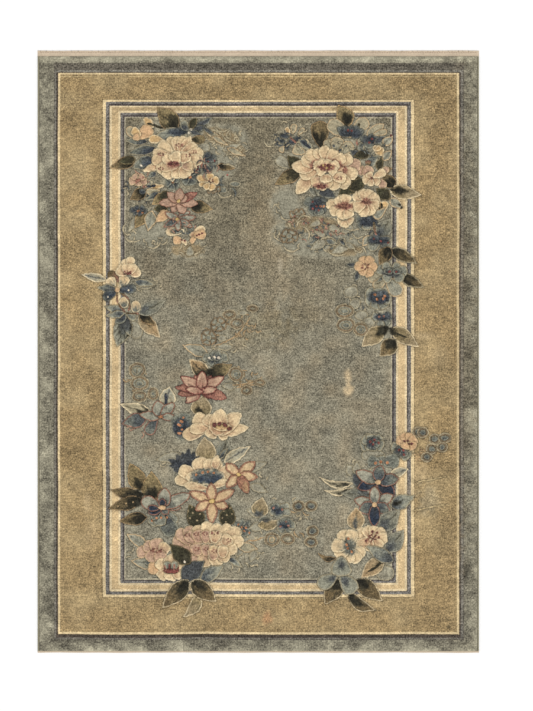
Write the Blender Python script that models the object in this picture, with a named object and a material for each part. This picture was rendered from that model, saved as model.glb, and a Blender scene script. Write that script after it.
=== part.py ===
# Hand-knotted silk rug, lying flat: one carved pile cloth, a woven band sewn along each end
# and a thread-wrapped cord along each side.
# Metres, +Z up. The origin lies under the middle of the rug, and +Y points to its head end.

import math

import bmesh
import bpy
import numpy as np
from mathutils import Matrix, Vector
from mathutils.geometry import delaunay_2d_cdt

# Whole rug
RUG_WIDTH = 1.220
RUG_LENGTH = 1.665
GAP = 0.0003

# The two pieces along each side and the two along the ends
CORD_WIDTH = 0.0046
CORD_SIDES = 12
CORD_SMOOTH_ANGLE = math.radians(40)
HEAD_BAND_DEPTH = 0.0162
FOOT_BAND_DEPTH = 0.0050
BAND_THICKNESS = 0.0024
BAND_WAVE = 0.0005
BAND_WAVE_LENGTHS = (0.310, 0.117)
BAND_STEPS = 48

# Pile heights above the floor, from the sheared ground up to the raised flowers
PILE_EDGE_HEIGHT = 0.0045
GROUND_HEIGHT = 0.0091
FLOWER_HEIGHT = 0.0100
GROOVE_DEPTH = 0.0018
GROOVE_HALF_WIDTH = 0.0020

# How far in the pile takes to reach its full height, on each edge
SIDE_SHOULDER = 0.0040
HEAD_SHOULDER = 0.0110
FOOT_SHOULDER = 0.0070
SHOULDER_STEPS = (0.12, 0.45, 1.0)

# The design is set out on squared paper, as a weaver's chart is. Columns are counted from the
# left edge of the rug and rows from its head edge.
CHART_COLUMNS = 442
SQUARE = RUG_WIDTH / CHART_COLUMNS

# Carved border lines, in squares in from each edge of the rug
BORDER_LINES = [
    # name, left, right, head, foot
    ("guard", 17.2, 15.5, 19.5, 15.8),
    ("gold outer", 22.5, 22.3, 26.0, 21.6),
    ("gold inner", 63.5, 65.3, 49.0, 56.0),
    ("band outer", 72.0, 73.0, 55.6, 63.5),
    ("band inner", 81.3, 83.1, 63.0, 70.7),
    ("field", 86.0, 87.0, 67.5, 75.0),
]

# Leaves, from the stem to the point, in squares. A flower lies over each leaf that it meets.
LEAVES = [
    # name, stem column, stem row, point column, point row, width
    ("head left upright", 141, 78, 120, 57, 19),
    ("head left outward", 100, 107, 71, 118, 12),
    ("head left low", 152, 155, 176, 159, 12),
    ("head right upright", 313, 76, 304, 54, 18),
    ("head right brown", 283, 98, 282, 71, 19),
    ("head right outward", 353, 138, 379, 146, 13),
    ("head right slate", 326, 160, 336, 185, 12),
    ("right outward", 354, 200, 380, 213, 10),
    ("right low", 363, 225, 389, 238, 11),
    ("right pale", 351, 222, 363, 248, 17),
    ("right fan left", 353, 278, 327, 296, 15),
    ("right fan right", 355, 278, 381, 295, 15),
    ("right fan middle", 351, 282, 343, 308, 15),
    ("left outward", 71, 227, 43, 222, 8),
    ("left upper", 102, 263, 129, 250, 13),
    ("left tan", 101, 264, 124, 288, 14),
    ("left feather", 92, 262, 80, 294, 15),
    ("lower left pair left", 169, 324, 153, 309, 13),
    ("lower left pair right", 170, 324, 196, 314, 12),
    ("lower left short", 161, 368, 166, 345, 18),
    ("lower left thistle", 158, 416, 131, 410, 17),
    ("lower left beige", 185, 414, 213, 397, 12),
    ("foot left fan top", 104, 439, 93, 412, 17),
    ("foot left fan inner", 113, 447, 115, 422, 19),
    ("foot left fan outer", 106, 445, 73, 440, 13),
    ("foot left fan low", 104, 450, 70, 459, 13),
    ("foot left spare", 110, 467, 82, 471, 12),
    ("foot left dark", 163, 477, 150, 456, 16),
    ("foot left dark right", 193, 476, 192, 454, 15),
    ("foot left navy", 145, 530, 167, 511, 16),
    ("foot left grey", 163, 531, 185, 516, 13),
    ("foot left tail left", 151, 531, 125, 558, 15),
    ("foot left tail right", 153, 531, 179, 551, 14),
    ("foot right leaf high", 353, 457, 377, 445, 15),
    ("foot right tan", 318, 480, 316, 457, 17),
    ("foot right olive", 344, 479, 363, 459, 17),
    ("foot right slate", 358, 513, 329, 496, 14),
    ("foot right low tan", 346, 508, 325, 527, 14),
    ("foot right bud", 306, 523, 317, 543, 17),
    ("foot right tail left", 303, 531, 288, 553, 16),
    ("foot right tail right", 320, 530, 345, 551, 16),
    ("foot right tail curved", 312, 541, 339, 560, 11),
]

# Flowers, in squares. Cut is how deep the notches between the petals reach, as a share of the
# flower's half size: low for rounded petals and high for pointed ones.
FLOWERS = [
    # name, column, row, half width, half height, petals, cut, turn in degrees
    ("head left peony", 141, 108, 25, 21, 9, 0.16, 10),
    ("head left lily", 143, 151, 17, 16, 8, 0.45, 0),
    ("head left blue", 172, 112, 13, 10, 6, 0.18, 0),
    ("head left tan", 104, 131, 10, 9, 6, 0.18, 15),
    ("head right peony", 290, 119, 33, 23, 10, 0.20, 0),
    ("head right cream", 338, 122, 18, 14, 7, 0.18, 20),
    ("head right low cream", 305, 156, 18, 12, 7, 0.18, 0),
    ("head right tall cream", 326, 150, 13, 16, 7, 0.18, 30),
    ("right peach", 329, 216, 11, 10, 6, 0.25, 0),
    ("right blue", 341, 250, 13, 10, 6, 0.22, 15),
    ("left cream", 92, 218, 13, 11, 6, 0.32, 12),
    ("lower left pink lily", 165, 339, 25, 17, 7, 0.48, 8),
    ("lower left blue star", 123, 366, 24, 18, 6, 0.48, 20),
    ("lower left cream lily", 180, 374, 32, 15, 7, 0.30, 10),
    ("foot left lotus", 169, 424, 31, 17, 8, 0.20, 0),
    ("foot left maroon star", 203, 425, 17, 15, 6, 0.50, 0),
    ("foot left cream star", 175, 451, 22, 19, 6, 0.50, 30),
    ("foot left rose star", 126, 457, 22, 15, 6, 0.48, 10),
    ("foot left blue", 120, 474, 19, 12, 6, 0.18, 0),
    ("foot left great peony", 171, 494, 36, 21, 12, 0.15, 0),
    ("foot left pink", 118, 499, 20, 12, 7, 0.18, 0),
    ("foot left red", 130, 518, 20, 12, 6, 0.22, 0),
    ("foot right slate", 335, 392, 13, 9, 6, 0.20, 0),
    ("foot right peach", 370, 391, 12, 10, 6, 0.20, 15),
    ("foot right navy star", 341, 431, 22, 17, 5, 0.52, 18),
    ("foot right blue star", 338, 455, 20, 19, 5, 0.52, 54),
    ("foot right blue heart", 312, 497, 17, 16, 8, 0.18, 0),
    ("foot right cream", 333, 488, 18, 13, 8, 0.18, 20),
]

# A petal's edge between its notch and its tip: rounded petals are nearly full there.
PETAL_POINTS = 4
ROUND_FULLNESS = 0.82
POINTED_FULLNESS = 0.42
POINTED_CUT = 0.4
LEAF_STEPS = 5
LEAF_ROUNDNESS = 0.75

MERGE_DISTANCE = 0.0002

COLOURS = {
    # name: (red, green, blue), roughness
    "pile": ((0.250, 0.215, 0.140), 0.75),
    "webbing": ((0.610, 0.500, 0.390), 0.90),
    "selvedge": ((0.290, 0.265, 0.190), 0.80),
}


def clear_scene():
    for old in list(bpy.data.objects):
        bpy.data.objects.remove(old, do_unlink=True)


def material(name):
    colour, roughness = COLOURS[name]
    made = bpy.data.materials.new(name)
    made.use_nodes = True
    shader = made.node_tree.nodes["Principled BSDF"]
    shader.inputs["Base Color"].default_value = (*colour, 1.0)
    shader.inputs["Roughness"].default_value = roughness
    shader.inputs["Metallic"].default_value = 0.0
    return made


def add_object(name, data, collection, material_name):
    """An object of this data, in the rug's collection, with its own material."""
    made = bpy.data.objects.new(name, data)
    data.materials.append(material(material_name))
    collection.objects.link(made)
    return made


def chart_point(column, row):
    """A place on the chart, in metres from the middle of the rug."""
    return np.array([column * SQUARE - RUG_WIDTH / 2, RUG_LENGTH / 2 - row * SQUARE])


def pile_extent():
    """Left, right, foot and head edge of the pile cloth, between the cords and the end bands."""
    side = RUG_WIDTH / 2 - CORD_WIDTH - GAP
    foot = -RUG_LENGTH / 2 + FOOT_BAND_DEPTH + GAP
    head = RUG_LENGTH / 2 - HEAD_BAND_DEPTH - GAP
    return -side, side, foot, head


def rectangle(left, right, foot, head):
    return np.array([(left, foot), (right, foot), (right, head), (left, head)])


def border_outline(left, right, head, foot):
    """A border line's rectangle, from its squares in from each edge."""
    return rectangle(
        -RUG_WIDTH / 2 + left * SQUARE,
        RUG_WIDTH / 2 - right * SQUARE,
        -RUG_LENGTH / 2 + foot * SQUARE,
        RUG_LENGTH / 2 - head * SQUARE,
    )


def leaf_outline(stem_column, stem_row, point_column, point_row, width):
    """A pointed oval from the stem to the point, fullest nearer the stem."""
    stem = chart_point(stem_column, stem_row)
    along = chart_point(point_column, point_row) - stem
    length = np.hypot(*along)
    across = np.array([-along[1], along[0]]) / length
    steps = np.arange(LEAF_STEPS + 1) / LEAF_STEPS
    half = 0.5 * width * SQUARE * np.sin(math.pi * steps**LEAF_ROUNDNESS)
    one_side = [stem + along * t + across * h for t, h in zip(steps, half)]
    other_side = [stem + along * t - across * h for t, h in zip(steps, half)]
    return np.array(one_side + other_side[-2:0:-1])


def flower_outline(column, row, half_width, half_height, petals, cut, turn):
    """A ring of petals, with a notch, a tip and two edge points to each."""
    fullness = POINTED_FULLNESS if cut > POINTED_CUT else ROUND_FULLNESS
    notch = 1.0 - cut
    edge = notch + cut * fullness
    reach = [notch, edge, 1.0, edge]
    points = []
    for step in range(petals * PETAL_POINTS):
        angle = math.radians(turn) + 2 * math.pi * step / (petals * PETAL_POINTS)
        radius = reach[step % PETAL_POINTS] * SQUARE
        points.append(
            (half_width * radius * math.cos(angle), half_height * radius * math.sin(angle))
        )
    return chart_point(column, row) + np.array(points)


def motif_outlines():
    """The outlines of all leaves and flowers, the lowest first."""
    leaves = [leaf_outline(*row[1:]) for row in LEAVES]
    flowers = [flower_outline(*row[1:]) for row in FLOWERS]
    return leaves + flowers


def inside(points, outline):
    """Which points lie inside a closed outline."""
    x, y = points[:, 0:1], points[:, 1:2]
    x1, y1 = outline[:, 0], outline[:, 1]
    x2, y2 = np.roll(x1, -1), np.roll(y1, -1)
    spans = (y1 > y) != (y2 > y)
    rise = np.where(y2 == y1, 1.0, y2 - y1)
    crossing = x1 + (y - y1) * (x2 - x1) / rise
    return (spans & (x < crossing)).sum(axis=1) % 2 == 1


def distance(points, outline):
    """How far each point is from a closed outline."""
    start = outline[None, :, :]
    run = np.roll(outline, -1, axis=0)[None, :, :] - start
    offset = points[:, None, :] - start
    share = np.clip((offset * run).sum(axis=2) / (run * run).sum(axis=2), 0.0, 1.0)
    return np.linalg.norm(offset - share[:, :, None] * run, axis=2).min(axis=1)


def beside(outline, shift):
    """The outline moved outwards by shift, or inwards where shift is negative."""
    back = outline - np.roll(outline, 1, axis=0)
    ahead = np.roll(outline, -1, axis=0) - outline
    tangent = back / np.linalg.norm(back, axis=1)[:, None]
    tangent = tangent + ahead / np.linalg.norm(ahead, axis=1)[:, None]
    normal = np.stack([tangent[:, 1], -tangent[:, 0]], axis=1)
    normal = normal / np.linalg.norm(normal, axis=1)[:, None]
    area = 0.5 * np.sum(outline[:, 0] * np.roll(outline[:, 1], -1)
                        - np.roll(outline[:, 0], -1) * outline[:, 1])
    return outline + normal * shift * math.copysign(1.0, area)


def pile_height(points, borders, motifs):
    """Height of the pile at each point: sheared ground, raised motifs, grooves and shoulders."""
    groove = np.full(len(points), np.inf)
    for outline in borders:
        groove = np.minimum(groove, distance(points, outline))
    full = np.full(len(points), GROUND_HEIGHT)
    for outline in motifs:
        within = inside(points, outline)
        reach = distance(points, outline)
        groove = np.where(within, reach, np.minimum(groove, reach))
        full = np.where(within, FLOWER_HEIGHT, full)
    bottom = GROUND_HEIGHT - GROOVE_DEPTH
    height = bottom + (full - bottom) * np.clip(groove / GROOVE_HALF_WIDTH, 0.0, 1.0)
    left, right, foot, head = pile_extent()
    inset = np.min(
        [
            (points[:, 0] - left) / SIDE_SHOULDER,
            (right - points[:, 0]) / SIDE_SHOULDER,
            (points[:, 1] - foot) / FOOT_SHOULDER,
            (head - points[:, 1]) / HEAD_SHOULDER,
        ],
        axis=0,
    )
    rounded = np.sqrt(1.0 - (1.0 - np.clip(inset, 0.0, 1.0)) ** 2)
    return PILE_EDGE_HEIGHT + (height - PILE_EDGE_HEIGHT) * rounded


def carved_lines(outline, covers):
    """A groove's two rims and its bottom, without the stretches that a later motif covers."""
    for shift in (-GROOVE_HALF_WIDTH, 0.0, GROOVE_HALF_WIDTH):
        line = beside(outline, shift)
        shown = np.ones(len(line), dtype=bool)
        for cover in covers:
            shown &= ~inside(line, cover)
        keep = shown | np.roll(shown, -1)
        yield line, keep


def shoulder_lines():
    """The pile cloth's edge and the lines where its rounded shoulder bends."""
    left, right, foot, head = pile_extent()
    for share in (0.0, *SHOULDER_STEPS):
        side = SIDE_SHOULDER * share
        yield rectangle(
            left + side, right - side, foot + FOOT_SHOULDER * share, head - HEAD_SHOULDER * share
        )


def carpet(collection):
    """The knotted cloth: one closed solid with a flat back and a carved, rounded pile."""
    borders = [border_outline(*row[1:]) for row in BORDER_LINES]
    motifs = motif_outlines()
    points, edges = [], []

    def add_line(line, keep):
        first = len(points)
        points.extend(Vector(point) for point in line)
        count = len(line)
        edges.extend((first + i, first + (i + 1) % count) for i in range(count) if keep[i])

    for line in shoulder_lines():
        add_line(line, [True] * len(line))
    for outline in borders:
        for line, _ in carved_lines(outline, []):
            add_line(line, [True] * len(line))
    for index, outline in enumerate(motifs):
        for line, keep in carved_lines(outline, motifs[index + 1:]):
            add_line(line, keep)

    used = sorted({end for edge in edges for end in edge})
    number = {old: new for new, old in enumerate(used)}
    flat, _, triangles, *_ = delaunay_2d_cdt(
        [points[old] for old in used],
        [(number[a], number[b]) for a, b in edges],
        [],
        0,
        MERGE_DISTANCE,
    )
    places = np.array([tuple(point) for point in flat])
    heights = pile_height(places, borders, motifs)

    work = bmesh.new()
    top = [work.verts.new((x, y, z)) for (x, y), z in zip(places, heights)]
    for triangle in triangles:
        work.faces.new([top[corner] for corner in triangle])
    rim = [edge for edge in work.edges if edge.is_boundary]
    walls = bmesh.ops.extrude_edge_only(work, edges=rim)["geom"]
    lower = [item for item in walls if isinstance(item, bmesh.types.BMVert)]
    for vertex in lower:
        vertex.co.z = 0.0
    open_edges = [edge for edge in work.edges if edge.is_boundary]
    bmesh.ops.edgeloop_fill(work, edges=open_edges)
    bmesh.ops.recalc_face_normals(work, faces=work.faces)
    mesh = bpy.data.meshes.new("carpet")
    work.to_mesh(mesh)
    work.free()
    add_object("carpet", mesh, collection, "pile")


def side_selvedge(name, side, collection):
    """A straight round cord beside the pile, flat underneath, between the two end bands."""
    _, _, foot, head = pile_extent()
    radius = CORD_WIDTH / 2 / math.cos(math.pi / CORD_SIDES)
    work = bmesh.new()
    bmesh.ops.create_cone(
        work,
        cap_ends=True,
        segments=CORD_SIDES,
        radius1=radius,
        radius2=radius,
        depth=head - foot,
    )
    turned = Matrix.Rotation(math.pi / 2, 4, "X") @ Matrix.Rotation(math.pi / CORD_SIDES, 4, "Z")
    bmesh.ops.transform(work, matrix=turned, verts=work.verts)
    mesh = bpy.data.meshes.new(name)
    work.to_mesh(mesh)
    work.free()
    mesh.shade_smooth()
    mesh.set_sharp_from_angle(angle=CORD_SMOOTH_ANGLE)
    cord = add_object(name, mesh, collection, "selvedge")
    middle = RUG_WIDTH / 2 - CORD_WIDTH / 2
    cord.location = (side * middle, (foot + head) / 2, CORD_WIDTH / 2)


def end_band(name, inner, outer, collection):
    """A flat woven band across the whole width, with a slightly uneven outer edge."""
    outward = math.copysign(1.0, outer)
    half = RUG_WIDTH / 2
    edge = [(-half, inner), (half, inner)]
    for step in range(BAND_STEPS + 1):
        x = half - RUG_WIDTH * step / BAND_STEPS
        wave = sum(math.sin(2 * math.pi * x / length) for length in BAND_WAVE_LENGTHS) / 2
        edge.append((x, outer - outward * BAND_WAVE * (1 + wave)))
    curve = bpy.data.curves.new(name, "CURVE")
    curve.dimensions = "2D"
    curve.fill_mode = "BOTH"
    curve.extrude = BAND_THICKNESS / 2
    spline = curve.splines.new("POLY")
    spline.points.add(len(edge) - 1)
    for point, (x, y) in zip(spline.points, edge):
        point.co = (x, y, 0.0, 1.0)
    spline.use_cyclic_u = True
    band = add_object(name, curve, collection, "webbing")
    band.location = (0.0, 0.0, BAND_THICKNESS / 2)


def main():
    clear_scene()
    rug = bpy.data.collections.new("silk_rug")
    bpy.context.scene.collection.children.link(rug)
    _, _, foot, head = pile_extent()
    carpet(rug)
    side_selvedge("left_selvedge", -1, rug)
    side_selvedge("right_selvedge", 1, rug)
    end_band("head_webbing", head + GAP, RUG_LENGTH / 2, rug)
    end_band("foot_webbing", foot - GAP, -RUG_LENGTH / 2, rug)


main()
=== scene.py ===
# Hand-knotted silk rug lying flat: striped borders and carved sprays of flowers.

import math

import bpy
import numpy as np
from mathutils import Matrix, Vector
from mathutils.geometry import delaunay_2d_cdt


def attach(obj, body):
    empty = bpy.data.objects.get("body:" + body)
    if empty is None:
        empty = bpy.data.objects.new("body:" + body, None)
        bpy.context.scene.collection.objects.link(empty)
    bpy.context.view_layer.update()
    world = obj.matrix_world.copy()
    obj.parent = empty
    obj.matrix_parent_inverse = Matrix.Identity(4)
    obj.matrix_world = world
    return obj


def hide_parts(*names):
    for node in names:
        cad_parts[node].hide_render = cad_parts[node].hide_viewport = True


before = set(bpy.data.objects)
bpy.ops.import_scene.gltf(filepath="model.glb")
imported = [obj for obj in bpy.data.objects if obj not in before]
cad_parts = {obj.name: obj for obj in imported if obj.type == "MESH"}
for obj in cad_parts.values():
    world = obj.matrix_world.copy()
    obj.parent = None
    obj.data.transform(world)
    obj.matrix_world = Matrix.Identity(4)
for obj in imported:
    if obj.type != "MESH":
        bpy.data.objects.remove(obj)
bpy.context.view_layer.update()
SEED = 7

# Whole rug, in metres
RUG_WIDTH = 1.220
RUG_LENGTH = 1.665
GAP = 0.0003
CORD_WIDTH = 0.0046
HEAD_BAND_DEPTH = 0.0162
FOOT_BAND_DEPTH = 0.0050
BAND_THICKNESS = 0.0024
BACK_THICKNESS = 0.0024
PILE_ROOT = 0.0022
CLOTH_FOOT = -RUG_LENGTH / 2 + FOOT_BAND_DEPTH + GAP
CLOTH_HEAD = RUG_LENGTH / 2 - HEAD_BAND_DEPTH - GAP

# Pile heights, from the sheared ground up to the raised flowers
PILE_EDGE_HEIGHT = 0.0045
GROUND_HEIGHT = 0.0091
FLOWER_HEIGHT = 0.0100
GROOVE_DEPTH = 0.0018
GROOVE_HALF_WIDTH = 0.0020
SIDE_SHOULDER = 0.0040
HEAD_SHOULDER = 0.0110
FOOT_SHOULDER = 0.0070
SHOULDER_STEPS = (0.12, 0.45, 1.0)
SHEAR_WAVE = 0.00015

# The design is set out on squared paper, as a weaver's chart is. The rug's drawing has
# a margin of blank squares at its left and above it.
CHART_COLUMNS = 442
CHART_LEFT = 37.3
CHART_TOP = 50.0
SQUARE = RUG_WIDTH / CHART_COLUMNS
CHART_ROWS = RUG_LENGTH / SQUARE

# Dyes of the silk, as they look in even white light, from 0 to 255; a few of them are painted shadow and
# painted highlight beside the carved grooves
DYES = {
    "olive": (134, 118, 84),
    "brown": (114, 98, 69),
    "tan": (182, 152, 112),
    "bright tan": (204, 170, 120),
    "cream": (212, 184, 142),
    "pale cream": (222, 196, 154),
    "rim cream": (236, 216, 176),
    "petal shade": (188, 150, 116),
    "beige": (172, 160, 130),
    "grey": (144, 139, 118),
    "pale grey": (162, 158, 138),
    "black": (36, 34, 26),
    "dark": (56, 52, 38),
    "navy": (56, 60, 66),
    "deep blue": (46, 55, 70),
    "blue": (82, 87, 88),
    "teal": (117, 118, 105),
    "slate": (108, 109, 99),
    "dark slate": (74, 76, 76),
    "pale slate": (150, 148, 129),
    "red": (128, 74, 66),
    "maroon": (112, 68, 62),
    "rose": (156, 112, 94),
    "pink": (198, 165, 137),
    "mauve": (176, 140, 116),
    "peach": (208, 170, 128),
    "orange": (184, 128, 90),
    "yellow": (216, 184, 120),
    "white": (230, 216, 190),
    "ground": (141, 134, 114),
    "ground head": (123, 114, 93),
    "ground light": (168, 162, 140),
    "outer": (112, 107, 92),
    "outer light": (164, 158, 136),
    "guard line": (104, 98, 86),
    "guard grey": (128, 123, 112),
    "guard dark": (80, 71, 62),
    "cream line": (228, 204, 158),
    "gold": (164, 140, 100),
    "gold light": (178, 155, 114),
    "gold line": (196, 174, 130),
    # Painted shadow in the carved groove inside the gold border; also a tint for stained places
    "groove": (132, 112, 80),
    "stripe": (124, 119, 112),
    # Painted shadow: the dark line along the navy stripes at their carved grooves
    "stripe edge": (84, 77, 74),
    # Painted highlight: the light line on the cream band beside the carved grooves
    "bright edge": (228, 206, 164),
    "cream band": (216, 188, 142),
    # Painted highlight along the sloped carved edge of the field, partly the pile's own lighter line
    "bevel": (184, 174, 147),
    "webbing": (204, 186, 162),
    "heart": (150, 106, 86),
    "green": (66, 64, 46),
    "dun": (156, 138, 106),
    "tail": (114, 97, 68),
    "lily": (186, 152, 128),
    "ring line": (136, 114, 86),
    "mist": (150, 145, 125),
    "curl": (192, 176, 142),
    "thread": (150, 112, 92),
    "nub": (92, 78, 62),
    "cord": (148, 142, 118),
}

# Ways of colouring a leaf or petal. Tip and base meet at turn, counted from 0 at the stem to
# 1 at the point, over softness; lean slants that edge so that one side is darker.
STYLES = {
    # name: tip, base, rim, vein, rim width in squares, turn, softness, lean
    "olive leaf": ("olive", "dark", "tan", "", 0.6, 0.48, 0.24, 0.0),
    "brown leaf": ("brown", "black", "tan", "", 0.6, 0.50, 0.26, 0.22),
    "dark leaf": ("brown", "black", "beige", "", 0.9, 0.50, 0.40, 0.0),
    "tan leaf": ("tan", "dun", "rim cream", "brown", 0.8, 0.50, 0.50, 0.0),
    "tan dark leaf": ("tan", "dark", "rim cream", "black", 0.8, 0.42, 0.30, 0.35),
    "plain leaf": ("olive", "brown", "bright tan", "", 0.7, 0.40, 0.40, 0.0),
    "tail leaf": ("tail", "dark", "rim cream", "", 0.7, 0.36, 0.40, 0.2),
    "tan plain leaf": ("dun", "olive", "rim cream", "", 0.8, 0.40, 0.40, 0.0),
    "navy leaf": ("teal", "navy", "beige", "", 0.9, 0.38, 0.35, 0.4),
    "navy vein leaf": ("pale grey", "beige", "rim cream", "navy", 1.0, 0.50, 0.50, 0.0),
    "slate leaf": ("pale slate", "blue", "beige", "", 1.0, 0.40, 0.40, 0.25),
    "grey leaf": ("grey", "slate", "ground light", "dark", 1.0, 0.50, 0.50, 0.0),
    "pale leaf": ("pale grey", "grey", "cream", "slate", 1.0, 0.45, 0.60, 0.0),
    "core leaf": ("beige", "black", "rim cream", "black", 1.1, 0.34, 0.22, 0.0),
    "feather leaf": ("pale slate", "black", "beige", "black", 0.8, 0.50, 0.35, 0.4),
    "beige petal": ("beige", "grey", "cream", "", 0.9, 0.40, 0.60, 0.0),
    "tan petal": ("bright tan", "tan", "rim cream", "", 0.9, 0.40, 0.60, 0.0),
    "cream petal": ("pale cream", "petal shade", "rim cream", "", 1.0, 0.42, 0.45, 0.0),
    "cream pink": ("cream", "mauve", "rim cream", "", 0.8, 0.45, 0.50, 0.0),
    "rim petal": ("pale cream", "cream", "rim cream", "", 1.1, 0.42, 0.45, 0.0),
    "cream blue": ("pale cream", "teal", "rim cream", "", 1.1, 0.34, 0.40, 0.0),
    "pink petal": ("lily", "mauve", "heart", "", 0.6, 0.30, 0.50, 0.0),
    "blush petal": ("pink", "rose", "red", "", 0.9, 0.42, 0.45, 0.0),
    "lily petal": ("rose", "red", "red", "", 0.7, 0.25, 0.50, 0.0),
    "pale pink": ("pink", "mauve", "pale cream", "", 0.7, 0.50, 0.60, 0.0),
    "rose petal": ("rose", "red", "red", "", 0.8, 0.30, 0.50, 0.0),
    "peach petal": ("peach", "peach", "cream", "", 0.8, 0.30, 0.60, 0.0),
    "star brown": ("tan", "heart", "heart", "", 1.4, 0.60, 0.40, 0.0),
    "star blue": ("teal", "blue", "rose", "", 1.0, 0.55, 0.40, 0.0),
    "star rose": ("pale grey", "slate", "heart", "", 1.0, 0.36, 0.40, 0.0),
    "star cream": ("cream", "peach", "heart", "", 1.5, 0.35, 0.50, 0.0),
    "deep petal": ("deep blue", "navy", "rose", "", 1.0, 0.60, 0.40, 0.0),
    "slate side leaf": ("dark slate", "dark slate", "pale slate", "", 0.7, 0.50, 0.40, 0.0),
    "green leaf": ("green", "dark", "olive", "", 0.7, 0.55, 0.30, 0.0),
    "bud petal": ("pale slate", "slate", "beige", "", 1.2, 0.30, 0.45, 0.0),
    "blue petal": ("teal", "navy", "pale slate", "", 1.0, 0.45, 0.50, 0.0),
    "navy petal": ("slate", "navy", "slate", "", 0.8, 0.70, 0.40, 0.0),
    "teal petal": ("teal", "slate", "pale grey", "", 0.9, 0.50, 0.60, 0.0),
    "slate petal": ("pale slate", "slate", "beige", "", 0.9, 0.50, 0.60, 0.0),
    "cream berry": ("cream", "slate", "rim cream", "", 0.9, 0.50, 0.30, 0.0),
    "ghost": ("ground light", "ground", "beige", "", 0.9, 0.40, 0.60, 0.0),
    "ring flower": ("pale slate", "pale slate", "ring line", "", 1.5, 0.50, 0.50, 0.0),
}
# Washes have no edge, and fade in over some squares
WASHES = {
    # name: tip, base, squares, turn, softness
    "lotus wash": ("teal", "blue", 5.0, 0.50, 0.50),
    "deep wash": ("blue", "deep blue", 4.5, 0.45, 0.50),
    "peach wash": ("petal shade", "petal shade", 3.5, 0.50, 0.50),
    "teal wash": ("teal", "slate", 4.5, 0.50, 0.50),
    "tan wash": ("dun", "dun", 4.0, 0.50, 0.50),
    "dark wash": ("dark", "black", 3.5, 0.60, 0.40),
    "slate wash": ("slate", "dark slate", 3.5, 0.60, 0.40),
    "navy wash": ("blue", "navy", 3.0, 0.60, 0.40),
    "heart wash": ("heart", "heart", 3.5, 0.50, 0.50),
    "mist": ("mist", "mist", 6.0, 0.50, 0.50),
    "heart": ("maroon", "heart", 0.3, 0.50, 0.50),
    "thistle": ("dark slate", "navy", 0.4, 0.55, 0.40),
}
# Lines and small spots of one dye, or of two that meet halfway
SPOT_DYES = ("red", "maroon", "rose", "orange", "yellow", "white", "dun", "dark", "navy")
SPOTS = {
    # name: tip, base
    "curl": ("curl", "beige"),
    "tan curl": ("dun", "tan"),
    "rose curl": ("mauve", "mauve"),
    "blue curl": ("blue", "teal"),
    "navy curl": ("navy", "blue"),
    "crease": ("gold line", "gold line"),
    "tan line": ("tan", "tan"),
    "rust": ("rose", "brown"),
    "ring edge": ("curl", "curl"),
}
SPOTS.update({name: (name, name) for name in SPOT_DYES})
for name, (tip, base, reach, turn, softness) in WASHES.items():
    STYLES[name] = (tip, base, "", "", -reach, turn, softness, 0.0)
for name, (tip, base) in SPOTS.items():
    STYLES[name] = (tip, base, "", "", 0.0, 0.50, 0.50, 0.0)

# The strokes of a flower's heart: their width, and where they start and end on its radius
STROKE_WIDTH = 2.0
STROKE_SPAN = (0.30, 0.90)
# How far the light line lies outside a ring, and what share of it the middle fills
RING_EDGE = 2.4
RING_SHARES = {"ring": 0.52, "berry": 0.68}
# The curled lines of a tangle: their length, width and bend
CURL_LENGTHS = (3.0, 8.0)
CURL_WIDTH = 1.4
CURL_BEND = 0.28

# Where the curls of each tangle begin to differ from the next one's
TANGLE_SEED = 31

# Small flowers: the petals' style, the eye's style, the petals' form and how wide they are
# against an even share of the ring, and the eye's size as a share of the flower.
FLOWER_STYLES = {
    # name: petals, eye, form, fullness, eye share
    "blue": ("blue petal", "orange", "petal", 1.25, 0.18),
    "navy": ("navy petal", "orange", "petal", 1.25, 0.16),
    "pink": ("pale pink", "rose", "petal", 1.25, 0.26),
    "ring": ("ring flower", "slate petal", "lobe", 1.3, 0.35),
}
# Where a petal starts, and where it is about its widest, on the flower's radius
PETAL_START = 0.12
PETAL_MIDDLE = 0.36

# The stripes of the border, in squares in from each edge of the rug, and the dye of each up to the
# next. The carved ones have a groove along them, and the dark and light lines beside some grooves are
# painted shadow and painted highlight.
STRIPES = [
    # left, right, head, foot, dye, carved
    (0.0, 0.0, 0.0, 0.0, "outer", False),
    (16.2, 15.2, 12.9, 13.2, "guard line", False),
    (17.3, 16.4, 20.0, 14.3, "guard grey", False),
    (18.6, 18.5, 22.0, 15.5, "guard dark", True),
    (20.5, 20.2, 22.9, 19.0, "cream line", False),
    (22.6, 22.5, 24.4, 21.2, "gold", False),
    (22.6, 22.5, 25.9, 21.2, "gold line", False),
    (22.6, 22.5, 27.0, 21.2, "gold", False),
    (64.2, 64.2, 48.9, 54.3, "gold line", False),
    # Painted shadow: a dark line in this carved groove
    (64.2, 64.2, 48.9, 55.4, "groove", True),
    (65.4, 65.2, 49.8, 56.4, "cream line", False),
    (68.3, 68.3, 51.8, 58.9, "stripe", False),
    # Painted shadow: a dark line along this carved groove
    (71.1, 71.2, 53.7, 61.3, "stripe edge", True),
    # Painted highlight: a light line beside the groove
    (72.3, 72.4, 55.8, 62.2, "bright edge", False),
    (74.4, 74.5, 57.2, 64.3, "cream band", False),
    # Painted highlight: a light line before the next carved groove
    (81.0, 81.2, 60.8, 68.3, "bright edge", False),
    (82.9, 83.1, 62.7, 70.3, "stripe", True),
    # Painted shadow: a dark line just before the carved groove at the field's edge
    (85.4, 85.3, 65.0, 72.4, "stripe edge", False),
    # Painted highlight along the sloped carved edge of the field, partly a lighter line of yarn
    (87.0, 87.2, 66.8, 73.6, "bevel", True),
    (88.3, 88.6, 68.0, 75.1, "ground", False),
]
# How the stripes wander: the length of each wave and its reach, in squares
STRIPE_DRIFT = ((70.0, 0.35), (23.0, 0.15))

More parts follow.
